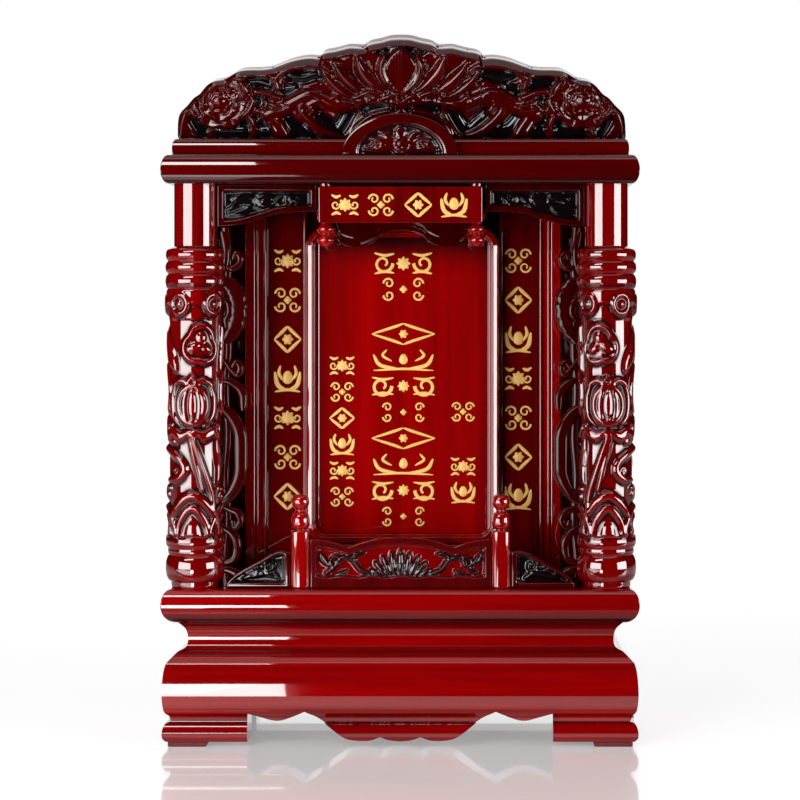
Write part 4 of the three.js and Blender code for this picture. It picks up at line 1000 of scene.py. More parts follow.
class TABLET_OT_header(bpy.types.Operator):
    """Builds the plaque, pendants, valance and spandrels under the cornice"""
    bl_idname = "tablet.header"
    bl_label = "Header"

    def execute(self, context):
        sizes = context.scene.tablet_header
        low, high = node_box("name_plaque")
        half, thick, tall = high[0], sizes.plaque_thickness / MM, sizes.plaque_height / MM
        lean = math.degrees(sizes.plaque_lean)
        origin = (0, high[1], low[2] + thick * math.sin(sizes.plaque_lean))
        board = leaned(eased_box((-half, -thick, 0), (half, 0, tall), 0.9), lean, origin)
        add_piece("plaque_board", "name_plaque", [board], "board_lacquer")
        gilt = [leaned(skin, lean, origin) for k, x in enumerate((-37, -13, 12, 36))
                for skin in ornament(x, tall / 2, 9.5, 8.5, -thick, k)]
        add_piece("plaque_ornaments", None, gilt, "gold_paint")
        line = smooth_path(PENDANT_PROFILE_SHARES, 4)
        rise = np.maximum.accumulate(line[:, 1])
        for word, side in SIDES:
            low, high = node_box(f"pendant_{word}")
            middle, width = (low + high) / 2, high[0] - low[0]
            skin = turned(*middle[:2], low[2] + rise * (high[2] - low[2]), line[:, 0] * width / 2, 40)
            add_piece(f"pendant_drop_{word}", f"pendant_{word}", [skin], "red_lacquer")
        self.valance()
        for word, side in SIDES:
            self.spandrel(word, side, sizes.border / MM)
        return {"FINISHED"}

    def valance(self):
        """Lobed board with incised lines that follow its lower edge."""
        low, high = node_box("valance")
        line = smooth_runs(VALANCE_RUN_SHARES, high[0], high[2] - low[2])
        xs = np.linspace(-high[0], high[0], 200)

        def bottom(x):
            return low[2] + np.interp(np.abs(x), line[:, 0], line[:, 1])

        def carve(x, z):
            above = z - bottom(x)
            groove = np.exp(-((above - 3.2) / 0.6) ** 2) + np.exp(-((above - 5.4) / 0.6) ** 2)
            return 1 - np.clip(groove, 0, 1), x * 0

        tops = np.full(len(xs), high[2])
        skin = relief_board(xs, bottom(xs), tops, low[1], high[1], 0.9, carve, 60, 0.8)
        add_piece("valance_board", "valance", [skin], "header_lacquer")

    def spandrel(self, word, side, border):
        """Bracket board with a sunk black window that holds a small flower and curled leaves."""
        low, high = node_box(f"spandrel_{word}")
        inner, outer = (high[0], low[0]) if side < 0 else (low[0], high[0])
        length, tall = outer - inner, high[2] - low[2]
        line = smooth_path(SPANDREL_DROP_SHARES, 6)
        xs = inner + spread(170, 0.2)[::side] * length

        def bottom(x):
            return low[2] + tall * np.interp((x - inner) / length, line[:, 0], line[:, 1])

        def carve(x, z):
            s = (x - inner) / length
            inside = np.minimum(np.minimum(z - bottom(x), high[2] - z), np.minimum(s, 1 - s) * abs(length))
            carving = 0.6 * carved(s * abs(length), z - low[2], SPANDREL_FORMS)
            sunk, h = windowed(inside - border, 1.0, carving)
            return h, sunk * (carving < 0.5)

        tops = np.full(len(xs), high[2])
        skin = relief_board(xs, bottom(xs), tops, low[1], high[1], 3.2, carve, 70, 0.7, soft=4)
        add_piece(f"spandrel_carving_{word}", f"spandrel_{word}", [skin], "header_lacquer", smooth=50.0)


# Gilt ornaments


def ornament(x, z, half_u, half_v, face, kind, thick=0.9):
    """One raised gilt ornament of a small family: a flower between scrolls, a knot of scrolls, a lozenge
    or a lotus. Petals follow radius = r (1 + a cos n t); scrolls are bars on spirals."""
    front, rear = face - thick, face + 0.05
    size = min(half_u, half_v)

    def bloom_at(radius, petals, depth):
        return medal(
            x, z, lambda t: radius * (1 - depth + depth * np.abs(np.cos(petals * t / 2))), front, rear)

    def curl(a, b, radius, hand, start):
        t = np.linspace(0, 1, 22)
        angle = math.radians(start) + hand * 2 * np.pi * 1.15 * t
        r = radius * (1 - 0.72 * t)
        path = np.stack([x + a * half_u + r * np.cos(angle), z + b * half_v + r * np.sin(angle)], -1)
        return strap(path, 0.13 * radius * (1.1 - 0.5 * t) + 0.25, front, rear, sides=8)

    def bar(half, *points):
        path = smooth_path([(x + a * half_u, z + b * half_v) for a, b in points], 5)
        swell = np.sin(np.pi * np.linspace(0, 1, len(path))) ** 0.6
        return strap(path, half * (0.35 + 0.65 * swell), front, rear, sides=8)

    skins = []
    if kind % 4 == 0:
        skins.append(bloom_at(0.55 * size, 8, 0.35))
        for a in (-1, 1):
            skins.append(curl(a * 0.66, 0, 0.32 * half_u, a, 90 + 90 * a))
            for b in (1, -1):
                skins.append(bar(0.09 * size + 0.3, (a * 0.3, b * 0.75), (a * 0.62, b * 0.62),
                                 (a * 0.95, b * 0.8)))
    elif kind % 4 == 1:
        skins += [curl(a * 0.48, b * 0.46, 0.42 * size, a * b, 90 * (1 - a))
                  for a in (-1, 1) for b in (-1, 1)]
        skins.append(bloom_at(0.3 * size, 4, 0.3))
    elif kind % 4 == 2:
        skins += [bar(0.1 * size + 0.3, (a * 0.95, 0), (a * 0.3, b * 0.62), (0, b * 0.95))
                  for b in (-1, 1) for a in (-1, 1)]
        skins.append(bloom_at(0.42 * size, 6, 0.3))
    else:
        skins.append(medal(
            x, z, lambda t: 0.5 * size * (0.8 + 0.35 * np.clip(np.sin(t), 0, None) ** 4), front, rear))
        for a in (-1, 1):
            skins.append(bar(0.14 * size + 0.3, (a * 0.1, -0.85), (a * 0.7, -0.45), (a * 0.9, 0.5)))
            skins.append(bar(0.1 * size + 0.25, (a * 0.35, -0.1), (a * 0.62, 0.4), (a * 0.5, 0.95)))
        skins.append(bar(0.09 * size + 0.25, (-0.9, -0.95), (0, -0.8), (0.9, -0.95)))
    return skins


# Tablet and side boards

# Moulding of the tablet's frame from its outer edge in: (share of the width, share of the depth)
FRAME_PROFILE_SHARES = [
    (0, 1), (0, 0.26), (0.015, 0.19), (0.05, 0.13), (0.1, 0.095), (0.18, 0.07), (0.27, 0.0547),
    (0.36, 0.0393), (0.45, 0.024), (0.54, 0.0086), (0.6, 0), (0.64, 0.006), (0.68, 0.03), (0.71, 0.09),
    (0.74, 0.12), (0.78, 0.125), (0.84, 0.115), (0.9, 0.14), (0.94, 0.24), (1, 0.27), (1, 1),
]
# Places of the tablet's ornaments: across, half width, half height, and rows of height and kind
TABLET_ORNAMENTS = (
    (0.5, 21, 9.0, [(325, 0), (307, 1)]),
    (0.5, 23, 7.6, [(276 - 18.1 * k, k + 2) for k in range(8)]),
    (-42, 9, 7.6, [(254 - 18.2 * k, k) for k in range(6)]),
    (42, 9, 7.6, [(222, 1), (184, 0), (166, 3)]),
)
COUPLET_COUNT = 7


def shaded_board(low, high, side_shade, side_reach, top_shade, top_reach):
    """A flat board whose colour darkens towards its sides, and with painted shade towards its top, under
    what hangs over it: 1 - (1 - s exp(-d / r)) (1 - t exp(-(e / q)^2)), d being the distance to the nearer
    side and e to the top."""
    xs = low[0] + spread(60) * (high[0] - low[0])

    def carve(x, z):
        sides = 1 - side_shade * np.exp(-np.minimum(x - low[0], high[0] - x) / side_reach)
        # Painted shade under what hangs over the board, falling off down from its top.
        top = 1 - top_shade * np.exp(-((high[2] - z) / top_reach) ** 2)
        return np.ones(x.shape), 1 - sides * top

    return relief_board(xs, np.full(60, low[2]), np.full(60, high[2]), low[1], high[1], 0, carve, 90, 0.5)


class FrontSizes(bpy.types.PropertyGroup):
    corner_radius: length_size("Frame corner", "Radius of the tablet frame's corners", 14.0)
    frame_width: length_size("Frame width", "Width of the tablet frame's moulding", 7.2)
    gilt_thickness: length_size("Gilt thickness", "How far the gilt ornaments stand up", 0.9)


class TABLET_OT_front(bpy.types.Operator):
    """Builds the framed tablet, its gilt ornaments and the tall side boards"""
    bl_idname = "tablet.front"
    bl_label = "Tablet and side boards"

    def execute(self, context):
        sizes = context.scene.tablet_front
        thick = sizes.gilt_thickness / MM
        low, high = node_box("tablet_frame")
        path = rounded_rectangle(low[0], high[0], low[2], high[2], sizes.corner_radius / MM, 14)
        profile = np.array(FRAME_PROFILE_SHARES)
        inset = profile[:, 0] * (sizes.frame_width / MM)
        plane = path[:, None] + path_normals(path, True)[:, None] * inset[None, :, None]
        y = np.broadcast_to(low[1] + profile[:, 1] * (high[1] - low[1]), plane.shape[:2])
        moulding = loft(np.stack([plane[..., 0], y, plane[..., 1]], -1), True)
        add_piece("tablet_moulding", "tablet_frame", [moulding], "red_lacquer", smooth=45.0)
        low, high = node_box("tablet_panel")
        field = shaded_board(low, high, 0.25, 17.0, 0.95, 13.0)
        add_piece("tablet_field", "tablet_panel", [field], "bright_lacquer")
        gilt = []
        for x, half_u, half_v, rows in TABLET_ORNAMENTS:
            for z, kind in rows:
                gilt += ornament(x, z, half_u, half_v, low[1], kind, thick)
        add_piece("tablet_ornaments", None, gilt, "gold_paint")
        plinth = eased_box(*node_box("tablet_plinth"), 1.2)
        add_piece("plinth_block", "tablet_plinth", [plinth], "red_lacquer")
        dress_nodes("black_lacquer", "tablet_backboard")
        for word, side in SIDES:
            self.couplet(word, side, thick)
            cheek = eased_box(*node_box(f"case_side_{word}"), 0.9)
            add_piece(f"case_cheek_{word}", f"case_side_{word}", [cheek], "red_lacquer")
        return {"FINISHED"}

    def couplet(self, word, side, thick):
        """A tall side board with its bead, its column of ornaments and the moulding at its outer edge."""

        def bead(low, high, near, far, front, rear):
            """An upright bar between two distances from the box's inner edge."""
            inner = min(abs(low[0]), abs(high[0]))
            left, right = sorted((side * (inner + near), side * (inner + far)))
            return eased_box((left, front, low[2]), (right, rear, high[2]), 0.7)

        low, high = node_box(f"couplet_board_{word}")
        board = [shaded_board(low, high, 0.3, 6.0, 0.85, 22.0),
                 bead(low, high, 0, 2.2, low[1] - 1.0, low[1] + 0.5)]
        add_piece(f"couplet_field_{word}", f"couplet_board_{word}", board, "board_lacquer")
        gilt = []
        for k in range(COUPLET_COUNT):
            gilt += ornament((low[0] + high[0]) / 2 - side * 0.5, 327 - 27.4 * k, 9.8, 9.6, low[1],
                             k + (side > 0), thick)
        add_piece(f"couplet_ornaments_{word}", None, gilt, "gold_paint")
        low, high = node_box(f"couplet_rim_{word}")
        bars = [eased_box((low[0], low[1] + 1.5, low[2]), high, 0.7)]
        bars += [bead(low, high, near, far, low[1], low[1] + 3) for near, far in ((0.2, 2.2), (5.6, 7.5))]
        add_piece(f"couplet_frame_{word}", f"couplet_rim_{word}", bars, "red_lacquer")


# Rear

GROOVE_GAP = 0.3


class RearSizes(bpy.types.PropertyGroup):
    ease: length_size("Edge ease", "Rounding of the rear boards' edges", 0.8)
    notch_radius: length_size("Finger notch", "Radius of the notch in the sliding back", 12.0)
    groove_lap: length_size("Groove depth", "How deep the grooves for the back are", 8.5)


class TABLET_OT_rear(bpy.types.Operator):
    """Builds the walls, grooved stiles, sill, sliding back and name board"""
    bl_idname = "tablet.rear"
    bl_label = "Walls and rear"

    def execute(self, context):
        sizes = context.scene.tablet_rear
        ease = sizes.ease / MM
        slide_low, slide_high = node_box("back_slide")
        groove_front, groove_rear = slide_low[1] - GROOVE_GAP, slide_high[1] + GROOVE_GAP
        for word, side in SIDES:
            low, high = node_box(f"rear_stile_{word}")
            inner, outer = sorted((abs(low[0]), abs(high[0])))
            deep = inner + sizes.groove_lap / MM
            section = np.array([
                [inner, low[1]], [outer, low[1]], [outer, high[1]], [inner, high[1]],
                [inner, groove_rear], [deep, groove_rear], [deep, groove_front], [inner, groove_front],
            ]) * np.array([side, 1])
            skin = prism(rounded_corners(section, ease), low[2], high[2])
            add_piece(f"grooved_stile_{word}", f"rear_stile_{word}", [skin], "back_lacquer")
        dress_nodes("back_lacquer", "wall_left", "wall_right")
        dress_nodes("bare_wood", "name_board", "name_board_batten_left", "name_board_batten_right")
        add_piece("rear_rail", "rear_sill", [eased_box(*node_box("rear_sill"), ease)], "back_lacquer")
        radius = sizes.notch_radius / MM
        turn = np.linspace(0, np.pi, 22)
        left, right, foot, top = slide_low[0], slide_high[0], slide_low[2], slide_high[2]
        notch = np.stack([radius * np.cos(turn), top - radius * np.sin(turn)], -1)
        outline = np.vstack([[left, foot], [right, foot], [right, top], notch, [left, top]])
        slide = plate(outline, slide_low[1], slide_high[1], 0.7)
        add_piece("sliding_panel", "back_slide", [slide], "back_lacquer", body=BACK)
        return {"FINISHED"}


# Balustrade

POST_HEAD_SHARES = [
    (0.8, 0), (0.6, 0.04), (0.62, 0.07), (0.9, 0.12), (1, 0.27), (0.86, 0.44), (0.55, 0.53),
    (0.52, 0.58), (0.82, 0.67), (0.95, 0.79), (0.78, 0.93), (0.3, 0.995), (0.03, 1),
]
RAIL_TOP_SHARES = [
    [[0, 1], [0.25, 0.97], [0.45, 0.88], [0.58, 0.8]],
    [[0.58, 0.8], [0.7, 0.87], [0.85, 0.93], [1, 0.95]],
]
SIDE_RAIL_SHARES = [
    [0, 0.98], [0.2, 1], [0.45, 0.78], [0.62, 0.62], [0.75, 0.5], [0.9, 0.32], [1, 0.12],
]
# The middle rail's lotus as domed ovals, its vines, and the side rails' leaves
LOTUS_PETALS = [
    (dome, (0, 16.5), 2.7, 10.2, 1.0, 0, 0.4), (dome, (4.9, 15.6), 2.4, 9.4, 0.94, -10, 0.4),
    (dome, (9.2, 14.4), 2.4, 8.6, 0.88, -24, 0.4), (dome, (13.2, 12.4), 2.3, 7.4, 0.82, -40, 0.4),
    (dome, (16.2, 10.0), 1.9, 5.6, 0.76, -62, 0.4), (dome, (0, 8.4), 9, 3.2, 0.7, 0, 0.4),
]
RAIL_VINES = [
    (ridge, [(20, 9), (27, 12), (33, 19), (40, 20), (45, 14), (50, 10)], 1.8, 0.85),
    (volute, (44, 17), 4.4, 0.9, 1.2, -1, 120), (leaf, [(34, 18), (30, 22), (24, 23)], 2.4, 0.85, 0.3),
    (leaf, [(47, 14), (52, 19), (54, 24)], 2.6, 0.85, 0.3),
    (leaf, [(36, 12), (40, 9), (46, 8.5)], 2.2, 0.8, 0.3),
]
SIDE_RAIL_FORMS = [
    (leaf, [(9, 6), (16, 10), (24, 9), (33, 6)], 2.6, 0.85, 0.3, 3),
    (volute, (14, 15), 4.2, 0.9, 1.2, -1, 60), (leaf, [(20, 12), (27, 12), (31, 9)], 2.0, 0.8, 0.3),
]


class RailSizes(bpy.types.PropertyGroup):
    post_body: length_size("Post body", "Height of a post's square body", 39.0)
    relief: length_size("Relief", "Depth of the rails' carving", 4.2)
    border: length_size("Border", "Plain border under the carved field", 7.5)


class TABLET_OT_balustrade(bpy.types.Operator):
    """Builds the posts, the carved middle rail and the raking side rails"""
    bl_idname = "tablet.balustrade"
    bl_label = "Balustrade"

    def execute(self, context):
        sizes = context.scene.tablet_rails
        line = smooth_path(POST_HEAD_SHARES, 5)
        rise = np.maximum.accumulate(np.clip(line[:, 1], 0, 1))
        for word, side in SIDES:
            low, high = node_box(f"rail_post_{word}")
            knee = low[2] + sizes.post_body / MM
            body = moulded_block(low, (high[0], high[1], knee), eased_profile(low[2], knee, 1.4), corner=4.6)
            radii = np.clip(line[:, 0], 0.03, None) * (high[0] - low[0]) / 2
            head = turned(*((low + high) / 2)[:2], knee - 1 + rise * (high[2] - knee + 1), radii, 48)
            add_piece(f"post_{word}", f"rail_post_{word}", [body, head], "bright_lacquer")
        self.middle_rail(sizes)
        dress_nodes("red_lacquer", "rail_panel")
        for word, side in SIDES:
            self.side_rail(word, side, sizes.relief / MM)
        return {"FINISHED"}

    def middle_rail(self, sizes):
        """The middle rail: a lotus and vines on a dark ground, in a field with a wavy lower border."""
        low, high = node_box("rail_centre")
        half = high[0]
        line = smooth_runs(RAIL_TOP_SHARES, half, high[2] - low[2])
        xs = (2 * spread(300, 0.1) - 1) * half

        def top(x):
            return np.interp(np.abs(x), line[:, 0], line[:, 1])

        def carve(x, z):
            u, v = np.abs(x), z - low[2]
            wavy = sizes.border / MM + 0.6 * np.cos(u / 3.2)
            inside = np.minimum(np.minimum(v - wavy, top(x) - 5.0 - v), half - 4.2 - u)
            carving = carved(u, v, LOTUS_PETALS + RAIL_VINES)
            sunk, h = windowed(inside, 0.9, carving)
            return h, np.where(sunk < 0.3, 0.6, np.where(carving > 0.1, 0.93, 0.1))

        skin = relief_board(xs, np.full(len(xs), low[2]), low[2] + top(xs), low[1], high[1],
                            sizes.relief / MM, carve, 90, 0.8)
        add_piece("rail_carving", "rail_centre", [skin], "rail_lacquer", smooth=50.0)

    def side_rail(self, word, side, deep):
        """A raking rail: its top falls towards the column, round a sunk black field with a curled leaf."""
        low, high = node_box(f"rail_side_{word}")
        inner, outer = sorted((abs(low[0]), abs(high[0])))
        length, tall = outer - inner, high[2] - low[2]
        line = smooth_path(SIDE_RAIL_SHARES, 6)
        share = spread(120, 0.2)[::side]
        tops = np.maximum(tall * np.interp(share, line[:, 0], line[:, 1]), 2.0)

        def carve(x, z):
            s = (np.abs(x) - inner) / length
            u, v = s * length, z - low[2]
            top = tall * np.interp(s, line[:, 0], line[:, 1])
            inside = np.minimum(np.minimum(v - 3.6, top - 2.4 - v), u - 4.2)
            sunk, h = windowed(inside, 0.9, carved(u, v, SIDE_RAIL_FORMS))
            return h, np.where(sunk > 0.4, 0.95, 0.0)

        skin = relief_board(side * (inner + share * length), np.full(len(tops), low[2]), low[2] + tops,
                            low[1], high[1], deep, carve, 60, 1.7, soft=5)
        add_piece(f"side_rail_{word}", f"rail_side_{word}", [skin], "crest_lacquer", smooth=50.0)


# Wings

# Open scrolls of a wing: points as (share across from the column, share up), half width in millimetres
WING_BAR_SHARES = [
    ([(0.02, 0.99), (0.16, 0.94), (0.14, 0.9), (0.02, 0.87)], 3.0),
    ([(0.02, 0.9), (0.35, 0.885), (0.62, 0.895), (0.72, 0.915), (0.55, 0.928), (0.45, 0.91)], 2.6),
    ([(-0.1, 0.85), (0.25, 0.84), (0.52, 0.81), (0.6, 0.77), (0.48, 0.725), (0.1, 0.68)], 6.8),
    ([(0.05, 0.8), (0.25, 0.79), (0.3, 0.76), (0.15, 0.745)], 3.2),
    ([(0.0, 0.64), (0.3, 0.61), (0.6, 0.59), (0.72, 0.61), (0.55, 0.625), (0.42, 0.61)], 2.6),
    ([(0.0, 0.575), (0.35, 0.57), (0.7, 0.55), (0.86, 0.52), (0.9, 0.49)], 3.2),
    ([(0.0, 0.5), (0.35, 0.475), (0.66, 0.435), (0.76, 0.38), (0.7, 0.31), (0.38, 0.26), (0.0, 0.235)], 5.0),
    ([(0.0, 0.225), (0.3, 0.215), (0.6, 0.205), (0.72, 0.18), (0.5, 0.165), (0.42, 0.185)], 2.8),
    ([(0.0, 0.165), (0.35, 0.15), (0.58, 0.12), (0.5, 0.08), (0.1, 0.065)], 3.4),
    ([(0.0, 0.05), (0.34, 0.045), (0.66, 0.03), (0.8, 0.005)], 3.4),
]
RIBBED_LEAF = 2  # row of the large leaf that has ribs across it


class WingSizes(bpy.types.PropertyGroup):
    spine: length_size("Spine", "Width of the bar that runs up beside the column", 6.0)
    ribs: count_size("Ribs", "Ribs cut across the large leaf of a wing", 9, 0)


class TABLET_OT_wings(bpy.types.Operator):
    """Builds the openwork scrolls between the columns and the side boards"""
    bl_idname = "tablet.wings"
    bl_label = "Wings"

    def execute(self, context):
        sizes = context.scene.tablet_wings
        (inner, front, foot), (_, rear, head) = node_box("wing_right")
        tall = head - foot
        edge = node_box("column_right")[0][0] + 3.2
        across = edge - inner - 0.5
        half = sizes.spine / MM / 2
        t = np.linspace(0, 1, 120)
        spine = np.stack([edge - half + 0.9 * np.sin(t * 26), foot + 0.3 + t * (tall - 0.6)], -1)
        skins = [strap(spine, half, front + 1.5, rear - 0.5)]
        for k, (points, half) in enumerate(WING_BAR_SHARES):
            path = smooth_path([(edge - a * across, foot + b * tall) for a, b in points], 8)
            share = np.linspace(0, 1, len(path))
            halves = half * (0.55 + 0.45 * np.sin(np.pi * share) ** 0.5)
            if k == RIBBED_LEAF and sizes.ribs:
                halves = halves * (1 + 0.08 * np.cos(2 * np.pi * sizes.ribs * share))
            path[:, 0] = np.clip(path[:, 0], inner + half + 0.2, None)
            path[:, 1] = np.clip(path[:, 1], foot + half, head - half)
            skins.append(strap(path, halves, front + 0.3 * (k % 3), rear - 0.4 * (k % 2), sides=14))
        add_piece("wing_scrolls_right", "wing_right", skins, "leaf_lacquer", smooth=60.0)
        left = [mirrored(skin) for skin in skins]
        add_piece("wing_scrolls_left", "wing_left", left, "leaf_lacquer", smooth=60.0)
        return {"FINISHED"}


# Finishes

UPRIGHT = (1.0, 1.0, 0.06)  # how the grain's noise is stretched in an upright board
LEVEL = (0.06, 0.06, 1.0)
PLAIN_LACQUER = {"stretch": UPRIGHT, "contrast": 0.75, "gloss": 0.03, "coat": 1.0, "ior": 1.35, "dull": 0.0}
LACQUERS = (  # name, strength of its colour, and what differs from the plain lacquer
    ("red_lacquer", 1.0, {}), ("level_lacquer", 1.08, {"stretch": LEVEL}),
    ("column_lacquer", 0.72, {"dull": 1.0}),
    # The leaf copy's low strength is painted shade on the wings behind the columns.
    ("leaf_lacquer", 0.16, {"gloss": 0.08, "coat": 0.08, "ior": 1.3}),
    # The bright copy's raised strength is painted light on the tablet's field and the posts.
    ("bright_lacquer", 1.12, {"contrast": 0.6}), ("board_lacquer", 0.6, {}),
    ("back_lacquer", 0.9, {"coat": 0.2}), ("rail_lacquer", 0.9, {"coat": 0.5}),
    # The cornice copy's low strength is painted shade on the cornice and its step.
    ("crest_lacquer", 0.24, {"coat": 0.6}), ("cornice_lacquer", 0.36, {"stretch": LEVEL}),
    # The header copy's low strength is painted shade under the cornice.
    ("header_lacquer", 0.15, {"coat": 0.15}), ("black_lacquer", 0.1, {}),
)
GRAIN_SCALE = 60.0
COAT_IOR = 1.8
UNDERSIDE = {"From Min": -0.22, "From Max": -0.11}  # a normal's Z between which the coat thins to nothing
REDDER = (0.85, 0.7, 0.6)
RUBBER = ((0.16, 0.006, 0.008), (0.08, 0.003, 0.004))


class FinishSizes(bpy.types.PropertyGroup):
    red: colour_choice("Lacquer red", "Colour of the lacquer over light grain", (0.3, 0.0006, 0.001))
    deep_red: colour_choice("Deep red", "Colour of the lacquer over dark grain", (0.09, 0.0002, 0.0004))
    # The ground colour is also the colour of the painted shade in creases, coves and under overhangs.
    ground: colour_choice("Ground", "Colour of the sunk grounds", (0.004, 0.002, 0.003))
    gilt: colour_choice("Gilt", "Colour of the gilt ornaments", (0.92, 0.6, 0.17))
    wood: colour_choice("Plain wood", "Colour of the bare wood", (0.3, 0.15, 0.08))


def feed(tree, node, inputs):
    """Gives each named input of a node its value, or joins it to the output that feeds it."""
    for name, value in inputs.items():
        if isinstance(value, bpy.types.NodeSocket):
            tree.links.new(value, node.inputs[name])
        else:
            node.inputs[name].default_value = value


def add_node(tree, kind, inputs=None, **settings):
    """Adds a node with its settings and inputs, and gives back its outputs."""
    node = tree.nodes.new("ShaderNode" + kind)
    for name, value in settings.items():
        setattr(node, name, value)
    feed(tree, node, inputs or {})
    return node.outputs


def product(tree, first, second):
    """Two values multiplied."""
    return add_node(tree, "Math", {0: first, 1: second}, operation="MULTIPLY")[0]


def ramp(tree, value, low, high, **reach):
    """A value from 0 to 1, or from reach's ends, carried to the span from low to high."""
    return add_node(tree, "MapRange", {"Value": value, "To Min": low, "To Max": high, **reach})["Result"]


def blend(tree, factor, first, second):
    """A colour between two."""
    return add_node(tree, "Mix", {"Factor": factor, "A": first, "B": second}, data_type="RGBA")["Result"]


def raised(tree, height, strength, distance):
    """The normal of a height over the surface."""
    return add_node(tree, "Bump", {"Height": height, "Strength": strength, "Distance": distance})["Normal"]


def solid(colour, strength=1.0):
    """A colour made paler or deeper, with its alpha."""
    return (*[strength * c for c in colour], 1)


def new_group(name, inputs, outputs):
    """A node group with named inputs, each with its kind and default, and named outputs of values."""
    group = bpy.data.node_groups.new(name, "ShaderNodeTree")
    for label, kind, default in inputs:
        socket = group.interface.new_socket(name=label, in_out="INPUT", socket_type="NodeSocket" + kind)
        socket.default_value = default
    for label in outputs:
        group.interface.new_socket(name=label, in_out="OUTPUT", socket_type="NodeSocketFloat")
    return group, group.nodes.new("NodeGroupInput").outputs, group.nodes.new("NodeGroupOutput")


def grain_group():
    """Wood grain under the finish: noise stretched along the board and bent by itself, with fine pores.
    Gives a mask from 0 in dark grain to 1 in light."""
    group, given, leave = new_group("Wood grain", [
        ("Vector", "Vector", (0, 0, 0)), ("Stretch", "Vector", UPRIGHT), ("Scale", "Float", GRAIN_SCALE),
        ("Contrast", "Float", 0.6)], ["Mask", "Pores"])
    place = add_node(group, "Mapping", {"Vector": given["Vector"], "Scale": given["Stretch"]})["Vector"]
    streaks = add_node(group, "TexNoise", {
        "Vector": place, "Scale": given["Scale"], "Detail": 5.0, "Roughness": 0.6, "Distortion": 0.4})
    finer = product(group, given["Scale"], 9.0)
    pores = add_node(group, "TexNoise", {"Vector": place, "Scale": finer, "Detail": 2.0})
    sharp = ramp(group, streaks["Fac"], 0.0, 1.0, **{"From Min": 0.32, "From Max": 0.68})
    mask = add_node(group, "Mix", {"Factor": given["Contrast"], "A": 1.0, "B": sharp})["Result"]
    feed(group, leave, {"Mask": mask, "Pores": pores["Fac"]})
    return group


def ripple_group():
    """The lacquer's surface: a slow swell from brushing and a trace of dust nibs, as one height, and a
    smear for its roughness."""
    group, given, leave = new_group("Lacquer ripple", [
        ("Vector", "Vector", (0, 0, 0)), ("Swell", "Float", 1.0), ("Nibs", "Float", 0.15)],
        ["Height", "Smear"])
    slow, fine, smear = (
        add_node(group, "TexNoise", {"Vector": given["Vector"], "Scale": scale, "Detail": detail})["Fac"]
        for scale, detail in ((38.0, 1.0), (900.0, 1.0), (14.0, 3.0)))
    swell, nibs = product(group, slow, given["Swell"]), product(group, fine, given["Nibs"])
    feed(group, leave, {"Height": add_node(group, "Math", {0: swell, 1: nibs})[0], "Smear": smear})
    return group


def place_group(tree, group, **values):
    """Puts a node group into a material, on Object coordinates and with its own values."""
    place = add_node(tree, "TexCoord")["Object"]
    return add_node(tree, "Group", {"Vector": place, **values}, node_tree=group)


def new_material(name, **inputs):
    """A material, its tree and its shader, with plain values on the shader's inputs."""
    material = bpy.data.materials.new(name)
    material.use_nodes = True
    shader = material.node_tree.nodes["Principled BSDF"]
    feed(material.node_tree, shader, {label.replace("_", " "): value for label, value in inputs.items()})
    return material, material.node_tree, shader


def lacquer_material(name, light, dark, ground, groups, values):
    """Clear lacquer over stained wood: colour by grain, black where the recess attribute is high,
    which marks sunk black grounds and also paints shade in creases, coves and under overhangs; an even gloss
    with smears in its roughness, and a coat that thins in recesses and on undersides."""
    _, tree, shader = new_material(name)
    grain = place_group(tree, groups["grain"], Stretch=values["stretch"], Contrast=values["contrast"])
    ripple = place_group(tree, groups["ripple"], Swell=0.5, Nibs=0.02)
    recess = add_node(tree, "Attribute", attribute_name="recess")["Fac"]
    stain = blend(tree, grain["Mask"], dark, light)
    polish = ramp(tree, recess, values["coat"], values["coat"] * (1 - values["dull"]))
    facing = add_node(tree, "SeparateXYZ", {0: add_node(tree, "NewGeometry")["Normal"]})["Z"]
    feed(tree, shader, {
        # Blending to the ground colour gives the black grounds and also the painted shade.
        "Base Color": blend(tree, recess, stain, ground),
        "Roughness": ramp(tree, ripple["Smear"], values["gloss"], values["gloss"] + 0.06),
        "Coat Weight": product(tree, polish, ramp(tree, facing, 0.0, 1.0, **UNDERSIDE)),
        "Normal": raised(tree, ripple["Height"], 0.35, 0.0004),
        "Coat Roughness": 0.02, "Coat IOR": COAT_IOR, "IOR": values["ior"],
    })


def gilt_material(colour, groups):
    """Brushed gold paint: yellow gold that thins to a redder tone in patches, softly rough."""
    _, tree, shader = new_material("gold_paint")
    ripple = place_group(tree, groups["ripple"], Swell=1.0, Nibs=1.0)
    feed(tree, shader, {
        "Base Color": blend(tree, ripple["Smear"], solid(np.multiply(colour, REDDER)), solid(colour)),
        "Roughness": ramp(tree, ripple["Smear"], 0.28, 0.5), "Metallic": 0.1,
        "Normal": raised(tree, ripple["Height"], 0.4, 0.0002),
    })


def matte_material(name, light, dark, groups, scale, rough):
    """Bare wood or rubber: grain colour, matte, with its pores as relief."""
    _, tree, shader = new_material(name)
    grain = place_group(tree, groups["grain"], Scale=scale, Contrast=0.9)
    feed(tree, shader, {
        "Base Color": blend(tree, grain["Mask"], solid(dark), solid(light)),
        "Roughness": ramp(tree, grain["Pores"], rough, rough + 0.15),
        "Normal": raised(tree, grain["Pores"], 0.5, 0.0003),
    })


